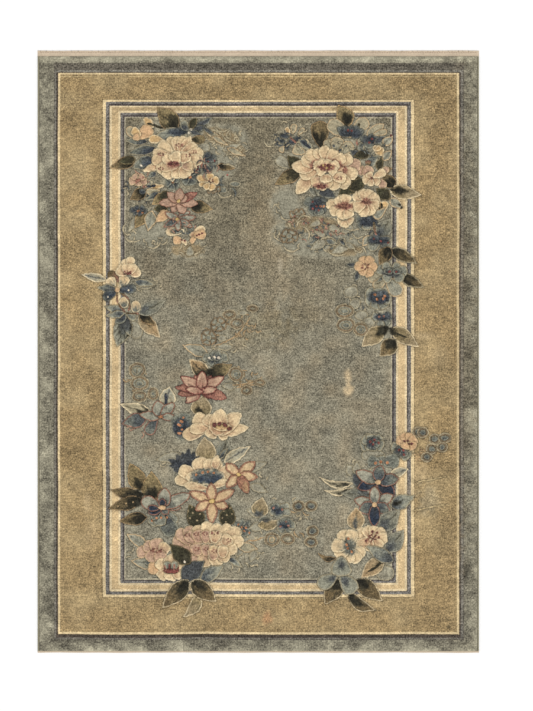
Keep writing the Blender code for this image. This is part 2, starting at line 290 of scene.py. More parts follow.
# Each spray's forms, the lowest first, in squares of the chart with its margin. After a form and
# its style come the numbers of each one:
# "leaf" and other drawn forms: stem u, stem v, tip u, tip v, width, bend
# "oval": u, v, width, height, turn in degrees
# "flower": u, v, width, height, petals, turn in degrees
# "heart", "tangle": u, v, width, height, strokes
# "ring", "berry", with the style of their middle: u, v, width, height
# "dots": size, then u, v of each
HEAD_LEFT = [
    ("oval", "mist", (225, 140, 46, 30, 0), (150, 233, 40, 26, 0), (215, 165, 40, 30, 0)),
    ("oval", "tan wash", (222, 137, 40, 20, 15), (236, 151, 24, 14, 0), (188, 250, 36, 16, 0)),
    ("tangle", "curl", (224, 140, 44, 26, 40), (236, 151, 26, 16, 14), (150, 233, 46, 26, 15)),
    ("tangle", "rose curl", (140, 180, 32, 18, 9)),
    ("tangle", "curl", (142, 190, 40, 20, 12)),
    ("tangle", "navy curl", (138, 192, 34, 26, 7)),
    ("tangle", "curl", (187, 248, 44, 18, 14)),
    ("tangle", "blue curl", (222, 187, 34, 16, 8)),
    ("curl", "curl", (205, 131, 222, 136, 1.5, -0.2), (222, 132, 236, 143, 1.5, 0.2),
     (226, 152, 244, 147, 1.5, 0.25), (224, 156, 240, 160, 1.5, -0.25),
     (214, 126, 230, 128, 1.5, 0.3), (124, 233, 140, 240, 1.5, 0.3), (146, 246, 162, 240, 1.5, 0.3),
     (126, 222, 129, 236, 1.5, 0.3), (183, 250, 204, 248, 1.5, 0.25), (216, 190, 232, 195, 1.5, 0.3)),
    ("leaf", "ghost", (223, 150, 241, 144, 7)),
    ("leaf", "beige petal", (206, 131, 222, 140, 6), (227, 148, 246, 156, 6), (212, 136, 229, 146, 5)),
    ("leaf", "ghost", (140, 215, 128, 232, 8)),
    ("leaf", "plain leaf", (146, 211, 135, 228, 12)),
    ("leaf", "pale leaf", (152, 211, 148, 231, 12)),
    ("leaf", "olive leaf", (177.5, 128.5, 157, 107, 19.5)),
    ("leaf", "dark wash", (177, 128, 168, 118, 10)),
    ("leaf", "brown leaf", (135.8, 158.8, 110, 168, 12.5)),
    ("leaf", "green leaf", (135.8, 158.8, 118, 162, 9)),
    ("petal", "beige petal", (137, 139, 127, 127, 9)),
    ("point", "tan petal", (153, 127.5, 144, 117.5, 8)),
    ("leaf", "navy leaf", (148, 141, 124.5, 141, 9)),
    ("petal", "peach petal", (137, 139, 151, 127, 14)),
    ("petal", "tan petal", (141, 136, 132, 129, 9)),
    ("petal", "peach petal", (140, 139.5, 134, 135.5, 8)),
    ("stem", "dark", (147, 123, 157, 126, 2.2), (153, 125, 163, 128, 2.2)),
    ("petal", "slate petal", (186, 132, 183, 120, 9)),
    ("leaf", "slate leaf", (184, 131, 149, 141, 15)),
    ("oval", "navy wash", (178, 131.5, 22, 9, 0)),
    ("petal", "tan petal", (163, 139.5, 149, 138.5, 9.5)),
    ("leaf", "navy leaf", (156.6, 148, 126, 153.5, 10), (153, 158.5, 132, 168, 14)),
    ("oval", "deep wash", (147, 150, 16, 6, -8), (147, 162, 14, 8, -20)),
    ("leaf", "cream petal", (159, 166, 142, 171, 8)),
    ("leaf", "navy leaf", (157, 172, 147, 178, 7)),
    ("point", "slate side leaf", (190, 131, 212.5, 117.3, 6), (190, 131.5, 206, 126.5, 7),
     (203, 127, 213, 134, 4)),
    ("point", "green leaf", (190, 129, 196, 117.5, 7)),
    ("point", "slate side leaf", (188, 130, 181, 125, 6), (190, 131, 201, 135, 5)),
    ("petal", "olive leaf", (191, 139, 205, 140, 10)),
    ("petal", "ghost", (196, 146, 210, 148, 9)),
    ("dots", "white", (2.4, 189.5, 132.7, 191, 129.5)),
    ("flower", "blue", (190, 177, 20, 17, 5, 0), (172.5, 182.5, 15, 15, 5, 30)),
    ("petal", "cream berry", (172, 182, 173, 175, 5)),
    ("petal", "blue petal", (199, 163, 194, 172, 8)),
    ("petal", "navy petal", (203, 164, 209, 173.5, 8)),
    ("petal", "blue petal", (204, 160, 217, 163, 8)),
    ("petal", "navy petal", (203, 159, 216.5, 158, 8), (204, 158, 210, 152.5, 7)),
    ("stem", "rose", (202, 158, 201, 168, 2.0), (206, 164, 209, 172, 2.0, 0.2)),
    ("leaf", "brown leaf", (216.6, 165.5, 235, 168.5, 7)),
    ("curl", "curl", (222, 164, 236, 168, 1.5, -0.1)),
    ("oval", "slate petal", (222, 190, 11, 7, 0), (235, 184, 12, 6, 0)),
    ("flower", "ring", (213, 189, 15, 8, 5, 0)),
    ("petal", "tan petal", (209, 181, 197, 177, 7), (208, 183, 199, 185, 6), (209, 181, 211, 173, 9),
     (210, 181, 219, 180, 9), (209, 183, 214, 189.5, 8), (209, 182, 205, 189, 7)),
    ("heart", "heart", (211, 180.5, 8, 6, 5)),
    ("dots", "red", (2.2, 227.3, 175, 208, 161.5, 214.5, 160.7, 198, 166.5, 197, 169.5, 206.5, 168.5)),
    ("flower", "pink", (138, 180, 19, 12, 5, 20)),
    ("dots", "rose", (2.6, 143, 177, 136, 182, 143.5, 186.7)),
    ("petal", "tan petal", (164, 186, 151, 187, 6)),
    ("petal", "beige petal", (160, 190, 146, 192, 6)),
    ("stem", "navy", (147, 186.5, 156, 185.5, 2.2)),
    ("leaf", "brown leaf", (146, 190, 130, 199.5, 12)),
    ("oval", "navy petal", (142.5, 191.5, 7, 6, 0)),
    ("leaf", "navy leaf", (158.7, 192, 145, 201, 7)),
    ("leaf", "plain leaf", (166, 195, 152, 204, 11)),
    ("leaf", "green leaf", (169.5, 192, 158.5, 199, 9), (168, 208.5, 153, 209, 9)),
    ("flower", "navy", (138.5, 210.5, 18, 10, 6, 10)),
    ("leaf", "peach petal", (169, 211, 155, 222, 10)),
    ("lobe", "rim petal", (178, 152, 168, 137.5, 11)),
    ("lobe", "cream petal", (178, 152, 176, 136.5, 11), (180, 152, 185, 136.5, 13)),
    ("point", "cream petal", (182, 150, 191, 136, 9)),
    ("lobe", "rim petal", (172, 152, 158.5, 143, 12)),
    ("lobe", "cream petal", (182, 154, 197, 145, 13), (184, 156, 203, 152, 12),
     (184, 159, 202.5, 160, 12), (182, 162, 196, 169.5, 13), (172, 156, 152.5, 152, 11)),
    ("lobe", "cream pink", (172, 159, 151.5, 160, 12)),
    ("lobe", "cream petal", (173, 164, 157, 170.5, 12), (174, 166, 164.5, 178, 12),
     (178, 166, 175.5, 178.5, 12), (182, 166, 186, 178, 13)),
    ("lobe", "cream pink", (178, 166, 160.5, 167, 11), (182, 166, 193, 165.5, 11)),
    ("lobe", "cream petal", (180, 162, 188.5, 153.5, 12), (176, 161, 162, 157, 11)),
    ("lobe", "rim petal", (178, 163, 173, 152, 13)),
    ("heart", "heart", (179.5, 145, 10, 5, 5), (161, 154.5, 8, 4, 5), (195, 152, 6, 4, 4),
     (188, 155.5, 6, 4, 4)),
    ("oval", "heart wash", (173, 164.5, 16, 9, 0)),
    ("heart", "maroon", (173.5, 164, 12, 6, 7)),
    ("heart", "heart", (161, 168.5, 7, 4, 5)),
    ("lobe", "cream blue", (184, 231, 166, 232, 9)),
    ("lobe", "slate petal", (186, 230, 196, 226, 8)),
    ("lobe", "cream petal", (190, 236, 205, 227.5, 9)),
    ("oval", "blue petal", (176, 231, 11, 5, 0)),
    ("lobe", "peach petal", (182, 240, 173, 240.5, 9)),
    ("lobe", "cream petal", (186, 240, 183, 243.5, 9)),
    ("lobe", "peach petal", (190, 238, 195, 241, 9), (194, 235, 206, 234, 10)),
    ("dots", "maroon", (2.2, 202, 233.2, 196.5, 235.7, 181.8, 239.7, 185, 240.5, 199, 234.5)),
    ("petal", "ghost", (190, 246, 190, 256, 8)),
    ("point", "star rose", (178, 219, 190, 211, 8), (178, 219, 196, 217, 7), (178, 219, 192, 227, 7),
     (178, 219, 178, 231, 7)),
    ("point", "star blue", (178, 219, 164, 227, 7)),
    ("point", "star rose", (178, 219, 165, 212, 7)),
    ("dots", "yellow", (3.6, 177.5, 219.5)),
    ("leaf", "olive leaf", (189.4, 205, 212.5, 209.5, 13)),
    ("oval", "dark wash", (196, 206, 15, 8, 5)),
    ("point", "pink petal", (178.3, 201.6, 172, 212, 9), (178.3, 201.6, 184.5, 214, 10),
     (178.3, 201.6, 198, 203.5, 9)),
    ("point", "rose petal", (178.3, 201.6, 197, 192.5, 8)),
    ("point", "pink petal", (178.3, 201.6, 187, 196, 8), (178.3, 201.6, 159, 203, 10),
     (178.3, 201.6, 167, 192.5, 9), (178.3, 201.6, 180, 188, 10)),
    ("dots", "yellow", (3.3, 178.3, 201.3)),
    ("dots", "white", (2.0, 141, 165.7)),
    ("dots", "orange", (2.2, 137.8, 211, 142.5, 212.8)),
    ("tangle", "rose curl", (206, 167, 24, 20, 8)),
    ("tangle", "navy curl", (205, 166, 24, 20, 7)),
    ("tangle", "rose curl", (178, 226, 36, 14, 7)),
    ("tangle", "blue curl", (180, 229, 34, 10, 5)),
]

HEAD_RIGHT = [
    ("oval", "mist", (316, 234, 90, 44, 0), (345, 246, 60, 26, 0), (285, 205, 30, 36, 0)),
    ("oval", "slate wash", (330, 241, 40, 12, 15)),
    ("oval", "tan wash", (312, 224, 56, 18, 0), (345, 250, 40, 14, 0)),
    ("tangle", "curl", (316, 232, 84, 38, 56)),
    ("tangle", "rose curl", (316, 229, 66, 28, 26)),
    ("tangle", "blue curl", (320, 234, 72, 30, 22)),
    ("tangle", "curl", (346, 247, 44, 18, 12), (287, 205, 26, 26, 6)),
    ("flower", "ring", (289, 236, 19, 14, 5, 10), (298, 214, 17, 10, 5, 30)),
    ("petal", "ghost", (310, 226, 320, 222, 6), (314, 231, 325, 236, 6), (340, 232, 330, 226, 8),
     (342, 233, 352, 226, 9)),
    ("leaf", "ghost", (326, 240, 310, 250, 9), (350, 244, 330, 254, 9)),
    ("curl", "curl", (282, 244, 300, 248, 1.5, 0.3), (276, 228, 282, 242, 1.5, 0.3),
     (300, 226, 308, 240, 1.5, -0.3), (318, 243, 336, 240, 1.5, -0.25),
     (326, 249, 345, 254, 1.5, 0.2), (352, 233, 364, 236, 1.5, 0.3), (356, 247, 366, 253, 1.5, -0.3),
     (280, 213, 290, 219, 1.5, 0.3), (296, 222, 312, 219, 1.5, -0.3), (344, 228, 360, 228, 1.5, 0.15),
     (264, 139, 274, 146, 1.5, 0.3)),
    ("leaf", "slate leaf", (325, 240, 338, 244, 6)),
    ("leaf", "navy leaf", (339.3, 239.6, 348.5, 247.7, 5)),
    ("leaf", "ghost", (345, 243, 356, 249.5, 6)),
    ("dots", "rose",
     (2.2, 303.5, 222.6, 308, 223.4, 322, 219.5, 328, 224.2, 335.8, 231, 294.3, 216.5),
     (2.2, 316.3, 229.5, 322.6, 232.2, 318.2, 237.7, 330.7, 235, 326.4, 228.5)),
    ("leaf", "plain leaf", (350, 125.5, 338.5, 104.5, 18)),
    ("leaf", "dark wash", (350, 125, 343, 110, 13)),
    ("petal", "brown leaf", (320.7, 147.5, 319.5, 121, 19)),
    ("oval", "dark wash", (323, 139, 5, 11, 0)),
    ("petal", "beige petal", (292.8, 134, 294, 124, 7)),
    ("petal", "tan petal", (290, 135, 286, 127, 5)),
    ("petal", "beige petal", (298, 135, 304, 128, 5)),
    ("oval", "navy petal", (284.5, 136, 9, 5, 10), (282.5, 141, 5, 4, 0)),
    ("petal", "navy petal", (288, 142, 285.5, 150, 6)),
    ("oval", "navy petal", (292.8, 141.5, 10, 6, 0), (298, 138.5, 7, 6, 0)),
    ("petal", "beige petal", (284, 146, 280, 152, 6)),
    ("curl", "curl", (276, 134, 280, 146, 1.5, 0.2)),
    ("leaf", "slate leaf", (299, 139.5, 314.5, 150.5, 9)),
    ("stem", "navy", (301, 141, 311, 148.5, 2.4)),
    ("petal", "beige petal", (306, 153, 293, 149, 10)),
    ("stem", "rose", (290, 137, 297, 144, 1.8)),
    ("petal", "beige petal", (352, 137, 328, 122, 16), (352, 134, 367.5, 119, 14)),
    ("dots", "dark", (2.4, 359, 124.4)),
    ("point", "navy petal", (350.5, 136, 337, 127, 10), (350.5, 136, 344, 125, 10),
     (350.5, 136, 352, 125, 11), (350.5, 136, 358.5, 126, 10), (350.5, 136, 364.5, 130, 10)),
    ("oval", "navy wash", (350, 132, 22, 10, 0)),
    ("dots", "red", (2.4, 348.2, 130.3, 352, 130.8)),
    ("point", "beige petal", (367, 136, 384, 124, 10)),
    ("petal", "beige petal", (372, 135, 387, 131, 7)),
    ("point", "navy petal", (370, 142, 360, 137, 9), (370, 142, 372, 133, 8), (370, 142, 380, 138, 9)),
    ("petal", "blue petal", (370, 139, 368, 148, 10)),
    ("oval", "navy wash", (370, 140, 14, 8, 0)),
    ("dots", "red", (2.2, 372, 139, 369, 142.6, 374.6, 142.6)),
    ("leaf", "slate side leaf", (374, 143, 386, 136, 6)),
    ("stem", "rose", (357, 140, 362, 148, 2.0, 0.2)),
    ("petal", "slate petal", (362, 142, 360, 151, 8)),
    ("petal", "tan petal", (373, 146, 383, 154, 10), (374, 151, 381, 147, 6)),
    ("leaf", "pale leaf", (383, 145, 393, 136, 9), (383, 160, 392, 150, 9)),
    ("dots", "maroon", (2.6, 391, 135.4)),
    ("petal", "beige petal", (331, 153, 328, 139, 12), (334, 153, 339, 137, 14),
     (338, 155, 352, 143, 13)),
    ("dots", "navy", (2.4, 338.5, 142.8, 339.6, 150.3, 346, 146, 334, 146)),
    ("leaf", "slate side leaf", (362, 158, 350, 150, 9)),
    ("leaf", "green leaf", (370, 153, 353, 156.5, 9)),
    ("leaf", "slate leaf", (366, 166, 379, 155, 11)),
    ("oval", "rust", (368.3, 162.5, 6, 4.5, 0)),
    ("leaf", "green leaf", (378, 170, 382, 157, 7)),
    ("lobe", "pale pink", (364, 174, 358.5, 167, 10), (364, 176, 371, 166.5, 11)),
    ("leaf", "brown leaf", (394, 187, 383, 173.5, 13), (382, 172, 392, 168, 7)),
    ("petal", "pale pink", (378, 178, 385, 187.5, 9), (376, 174, 389, 168.5, 7)),
    ("petal", "ghost", (291, 168, 276, 158, 12)),
    ("leaf", "green leaf", (300, 169, 287.5, 156, 13)),
    ("leaf", "olive leaf", (301, 170, 274.5, 184.5, 14)),
    ("leaf", "slate side leaf", (316, 184, 336, 198, 14)),
    ("leaf", "grey leaf", (312, 184, 318, 198, 11)),
    ("leaf", "green leaf", (360.5, 178, 338.5, 195, 17), (350, 190, 367, 178, 12)),
    ("petal", "blue petal", (317, 206, 304.5, 199.5, 11), (317, 206, 310, 214, 12)),
    ("petal", "navy petal", (317, 206, 318, 196.5, 11), (317, 206, 327, 200, 11),
     (317, 206, 327, 209, 11)),
    ("petal", "blue petal", (317, 206, 320, 215, 11)),
    ("oval", "navy wash", (316, 206, 15, 10, 0)),
    ("dots", "red", (2.3, 312.8, 201.8, 312.5, 208.5, 318.5, 210.5, 316.5, 206.3)),
    ("dots", "orange", (2.4, 320.5, 206.5, 323.5, 206.2)),
    ("petal", "cream petal", (345, 219, 337.5, 222, 9), (345, 219, 344, 227.5, 10),
     (346, 219, 353, 222, 9)),
    ("oval", "slate petal", (344, 217.5, 10, 5.5, 0)),
    ("lobe", "blue petal", (366, 221, 356, 218, 10), (366, 221, 359, 228, 11)),
    ("lobe", "slate petal", (367, 221, 366, 230, 10)),
    ("lobe", "navy petal", (367, 222, 375, 217, 11)),
    ("oval", "navy wash", (368, 221.5, 20, 12, 0)),
    ("leaf", "grey leaf", (379, 236, 390, 218.5, 16)),
    ("leaf", "slate wash", (378, 236, 385, 224, 8)),
    ("leaf", "pale leaf", (372, 236, 362, 246, 9)),
    ("petal", "slate petal", (380, 244, 368, 247, 12)),
    ("petal", "navy petal", (378, 240, 368, 240, 9), (378, 241, 376, 232.5, 8)),
    ("leaf", "navy leaf", (380, 240, 393, 238, 8)),
    ("petal", "blue petal", (379, 240, 388, 247, 9)),
    ("oval", "navy wash", (379, 240, 20, 9, 0)),
    ("dots", "red", (2.2, 381, 241, 388, 242.6, 374, 239)),
    ("stem", "rust", (373.5, 222, 376.5, 235, 2.2, 0.05)),
    ("petal", "tan petal", (380, 213, 376, 200, 10), (382, 213, 386, 201, 8)),
    ("stem", "dark", (381, 203, 382.5, 211, 2), (378, 204, 380, 210, 1.8)),
    ("petal", "pale leaf", (386, 208, 374, 218, 9)),
    ("leaf", "pale leaf", (389.5, 199, 403.5, 208, 10)),
    ("dots", "dark", (2.4, 399.3, 204.6, 401.6, 207.3)),
    ("leaf", "green leaf", (390, 198.5, 376, 188, 12)),
    ("leaf", "tan plain leaf", (389.5, 189.5, 421.5, 195.2, 14.5)),
    ("leaf", "dark wash", (389.5, 189.5, 412, 192, 10)),
    ("lobe", "cream petal", (345, 206, 326, 204, 11), (345, 207, 330, 212.5, 11),
     (344, 206, 337, 196.5, 12), (345, 206, 346, 194.5, 12), (345, 208, 339, 218, 12),
     (346, 208, 350, 218, 12), (346, 207, 357, 206, 11)),
    ("oval", "heart wash", (344.5, 206, 22, 9, 0)),
    ("heart", "heart", (344.5, 206.5, 16, 6, 8)),
    ("lobe", "cream petal", (366, 202, 353.5, 194, 11), (366, 202, 362, 189, 11),
     (367, 202, 370.5, 189.5, 11), (368, 202, 379, 196, 12), (368, 203, 379, 206.5, 12),
     (367, 203, 372, 215, 12), (366, 203, 362.5, 216.5, 12), (365, 203, 354, 209, 12)),
    ("oval", "heart wash", (366.5, 201.5, 12, 9, 0)),
    ("heart", "heart", (366.5, 201, 11, 8, 7)),
    ("petal", "cream petal", (372, 178, 362.5, 180.5, 10), (372, 178, 368, 172, 8),
     (372, 178, 380, 183.5, 8), (373, 177, 385.5, 171, 9), (372, 178, 370.5, 186, 7)),
    ("dots", "heart", (3.2, 372, 178)),
    ("lobe", "pale pink", (338, 166, 361, 165, 14)),
    ("lobe", "cream petal", (336, 164, 352, 157, 13), (334, 170, 358, 174.5, 13),
     (332, 172, 349, 186.5, 14), (328, 174, 337.5, 189, 14)),
    ("lobe", "cream pink", (324, 174, 318, 189.5, 17)),
    ("lobe", "cream petal", (318, 172, 306, 186, 13)),
    ("point", "cream petal", (312, 174, 296.5, 194, 14)),
    ("lobe", "cream petal", (318, 170, 300, 176, 13)),
    ("point", "cream petal", (314, 168, 291.5, 165.5, 14)),
    ("lobe", "cream petal", (322, 166, 301.5, 158, 13), (324, 164, 307, 151, 13),
     (325, 163, 315, 149, 10), (327, 163, 323, 146, 12), (328, 164, 336, 150, 13),
     (330, 165, 345, 156, 12)),
    ("oval", "heart wash", (326, 165, 36, 15, 0)),
    ("lobe", "cream petal", (332, 176, 346, 178.5, 12)),
    ("lobe", "cream pink", (324, 180, 331.5, 186, 10), (322, 180, 311, 182, 11)),
    ("lobe", "cream petal", (326, 174, 326, 182.5, 13)),
    ("lobe", "rim petal", (326, 168, 313, 164.5, 10), (326, 168, 319.5, 159.5, 9),
     (327, 168, 329.5, 159.5, 9), (328, 168, 339, 163.5, 10), (328, 168, 336.5, 172.5, 10),
     (326, 168, 317, 173, 10)),
    ("oval", "heart wash", (326, 167, 20, 9, 0)),
    ("heart", "maroon", (325.7, 167, 16, 8, 9)),
    ("oval", "heart wash", (345, 169.5, 8, 9, 0)),
    ("heart", "heart", (345, 169.5, 5, 7, 5)),
    ("oval", "heart wash", (321, 186, 18, 8, 0)),
    ("heart", "maroon", (321.5, 186.5, 11, 5, 6)),
    ("heart", "heart", (312, 166.5, 5, 6, 4), (339, 178.3, 7, 4, 5)),
    ("dots", "yellow", (2.2, 323.5, 165.2, 327, 168, 331, 167)),
    ("tangle", "curl", (290, 136, 40, 28, 14)),
    ("tangle", "navy curl", (288, 138, 30, 16, 10)),
    ("tangle", "curl", (340, 146, 28, 16, 6)),
    ("tangle", "blue curl", (372, 148, 24, 20, 6)),
    ("tangle", "navy curl", (374, 228, 28, 26, 8)),
]

RIGHT_MIDDLE = [
    ("tangle", "curl", (355, 300, 24, 34, 14), (354, 322, 32, 24, 10)),
    ("tangle", "blue curl", (362, 312, 24, 20, 6)),
    ("oval", "ghost", (351, 292, 15, 12, 0)),
    ("leaf", "ghost", (360, 299, 347, 311, 10)),
    ("petal", "beige petal", (387, 274, 368, 278, 12), (388, 276, 374, 288, 11)),
    ("leaf", "navy leaf", (385.7, 274.6, 376, 283.5, 5)),
    ("dots", "red", (2.4, 384.4, 276.4)),
    ("petal", "pale leaf", (387, 277, 399.5, 295.5, 15)),
    ("leaf", "dark leaf", (400, 275.5, 424.5, 287.5, 12), (391, 249, 417.5, 263.5, 12.5)),
    ("leaf", "brown leaf", (390, 247, 379.5, 264.5, 14)),
    ("petal", "slate petal", (392, 271.5, 376, 269, 12), (392, 271.5, 383, 263.5, 10),
     (393, 271.5, 400, 264, 11), (393, 271.5, 407.5, 270.5, 11), (392, 272, 384, 281, 11),
     (394, 272, 402, 281, 12)),
    ("oval", "slate wash", (392, 272, 22, 12, 0)),
    ("oval", "blue petal", (388.5, 271, 9, 7, 0), (397, 271, 8.5, 7, 0)),
    ("dots", "red", (2.6, 389.2, 271.5, 396.2, 271.5)),
    ("leaf", "slate side leaf", (356, 264.6, 345.5, 264.8, 4.5), (358, 271, 355.5, 282, 5)),
    ("petal", "peach petal", (366, 267, 361.5, 256.5, 10), (366, 267, 371.5, 256.5, 10),
     (366, 267, 377.5, 266.5, 10), (366, 267, 371, 276.5, 10.5), (366, 267, 360, 274.5, 10),
     (366, 267, 354.5, 266, 10)),
    ("heart", "heart", (365, 266.5, 10, 8, 6)),
    ("lobe", "slate petal", (379, 297, 366, 291, 13), (379, 297, 365.5, 303, 12),
     (379, 298, 374, 309, 12), (380, 298, 385.5, 308.5, 12), (380, 297, 391, 300, 12),
     (379, 296, 379, 287.5, 12)),
    ("lobe", "blue petal", (380, 296, 372, 296, 10)),
    ("lobe", "navy petal", (380, 297, 388.5, 294, 12), (380, 297, 378, 291.5, 10),
     (380, 297, 383, 303, 10)),
    ("oval", "navy wash", (379, 297, 24, 15, 0)),
    ("dots", "orange", (2.6, 374.9, 294.6, 383, 298.8, 376.9, 299.2, 385, 296.5)),
    ("petal", "slate petal", (381, 318, 371.5, 316, 11)),
    ("petal", "navy petal", (381, 319, 391.5, 315, 10)),
    ("petal", "teal petal", (382, 319, 389, 325.5, 10)),
    ("petal", "slate petal", (381, 319, 380, 327, 9)),
    ("oval", "navy petal", (380, 317.5, 8, 5, 0)),
    ("oval", "navy wash", (382, 317, 18, 9, 0)),
    ("dots", "rose", (2.2, 379, 317, 383.5, 316)),
    ("oval", "ghost", (361.5, 315.4, 13, 10, 0), (369, 322, 12, 9, 30)),
    ("ring", "slate petal", (344.6, 311, 17, 12), (346, 325, 17, 12.5), (360.8, 329.4, 13, 11.5)),
    ("leaf", "tan plain leaf", (391.5, 328, 418.5, 346.5, 15), (384, 327.5, 361.5, 346.5, 17)),
    ("leaf", "dark wash", (388, 327, 374, 336, 12), (388, 328, 400, 336.5, 8)),
    ("leaf", "tail leaf", (396, 339.5, 380, 356.5, 17)),
    ("leaf", "dark wash", (396, 339, 384, 350, 13), (390, 328, 381, 331, 9)),
    ("stem", "dark", (394, 332, 407, 337.5, 1.8)),
]

LEFT_MIDDLE = [
    ("tangle", "curl", (148, 284, 28, 12, 6)),
    ("leaf", "ghost", (136, 285, 158, 284, 9)),
    ("oval", "ghost", (135, 330, 15, 18, -20)),
    ("leaf", "rust", (108, 272, 120, 282, 10)),
    ("leaf", "feather leaf", (127, 317, 116.5, 347, 19), (126, 320, 131, 337, 10)),
    ("leaf", "slate wash", (128, 317, 121, 338, 13)),
    ("leaf", "tan leaf", (139, 315, 160.5, 338, 15)),
    ("leaf", "brown leaf", (139, 314.5, 155.5, 325, 9)),
    ("leaf", "blue petal", (125.5, 314.5, 115, 323.5, 10)),
    ("leaf", "slate leaf", (124.5, 311, 104, 306.5, 9), (125, 313, 105.5, 316, 8)),
    ("petal", "slate petal", (126, 314, 136, 319, 8)),
    ("leaf", "grey leaf", (139, 313.5, 166, 300, 14)),
    ("leaf", "slate wash", (139.5, 312.5, 154, 303.5, 7)),
    ("leaf", "navy vein leaf", (106.5, 279.5, 81, 274.5, 9)),
    ("leaf", "slate leaf", (134, 281.5, 156.5, 284.5, 8)),
    ("petal", "cream blue", (115, 287, 108.5, 277.5, 11)),
    ("petal", "cream berry", (121, 288, 125.5, 276, 11)),
    ("lobe", "cream petal", (128, 274, 117.5, 267, 14), (130, 274, 139, 268.5, 15),
     (128, 270, 124.5, 259, 9), (129, 270, 131, 257, 9), (129, 275, 129, 263, 16)),
    ("heart", "heart", (127.5, 272.5, 12, 7, 6)),
    ("oval", "maroon", (128.5, 273.5, 5, 3, 0)),
    ("leaf", "navy leaf", (116, 289.5, 97, 287, 8.5)),
    ("petal", "navy petal", (118, 291, 103, 298, 9.5), (118, 290.5, 136, 288, 9.5)),
    ("oval", "deep wash", (111, 294.5, 15, 7, -20), (127, 290, 14, 7, 0)),
    ("dots", "white", (1.6, 108, 297, 128.5, 290)),
    ("oval", "cream berry", (123.9, 302.5, 9, 11, 0), (135.7, 306.8, 9.5, 12, 0)),
    ("stem", "rust", (117.3, 291, 118, 303, 1.8, 0.05), (118, 303, 125, 312, 1.8, 0.05),
     (120, 292.5, 129, 299, 1.8), (129, 299, 128.5, 311, 1.8, -0.06), (126, 313, 139, 313.5, 1.8)),
    ("dots", "peach petal", (5.0, 117.3, 290)),
]

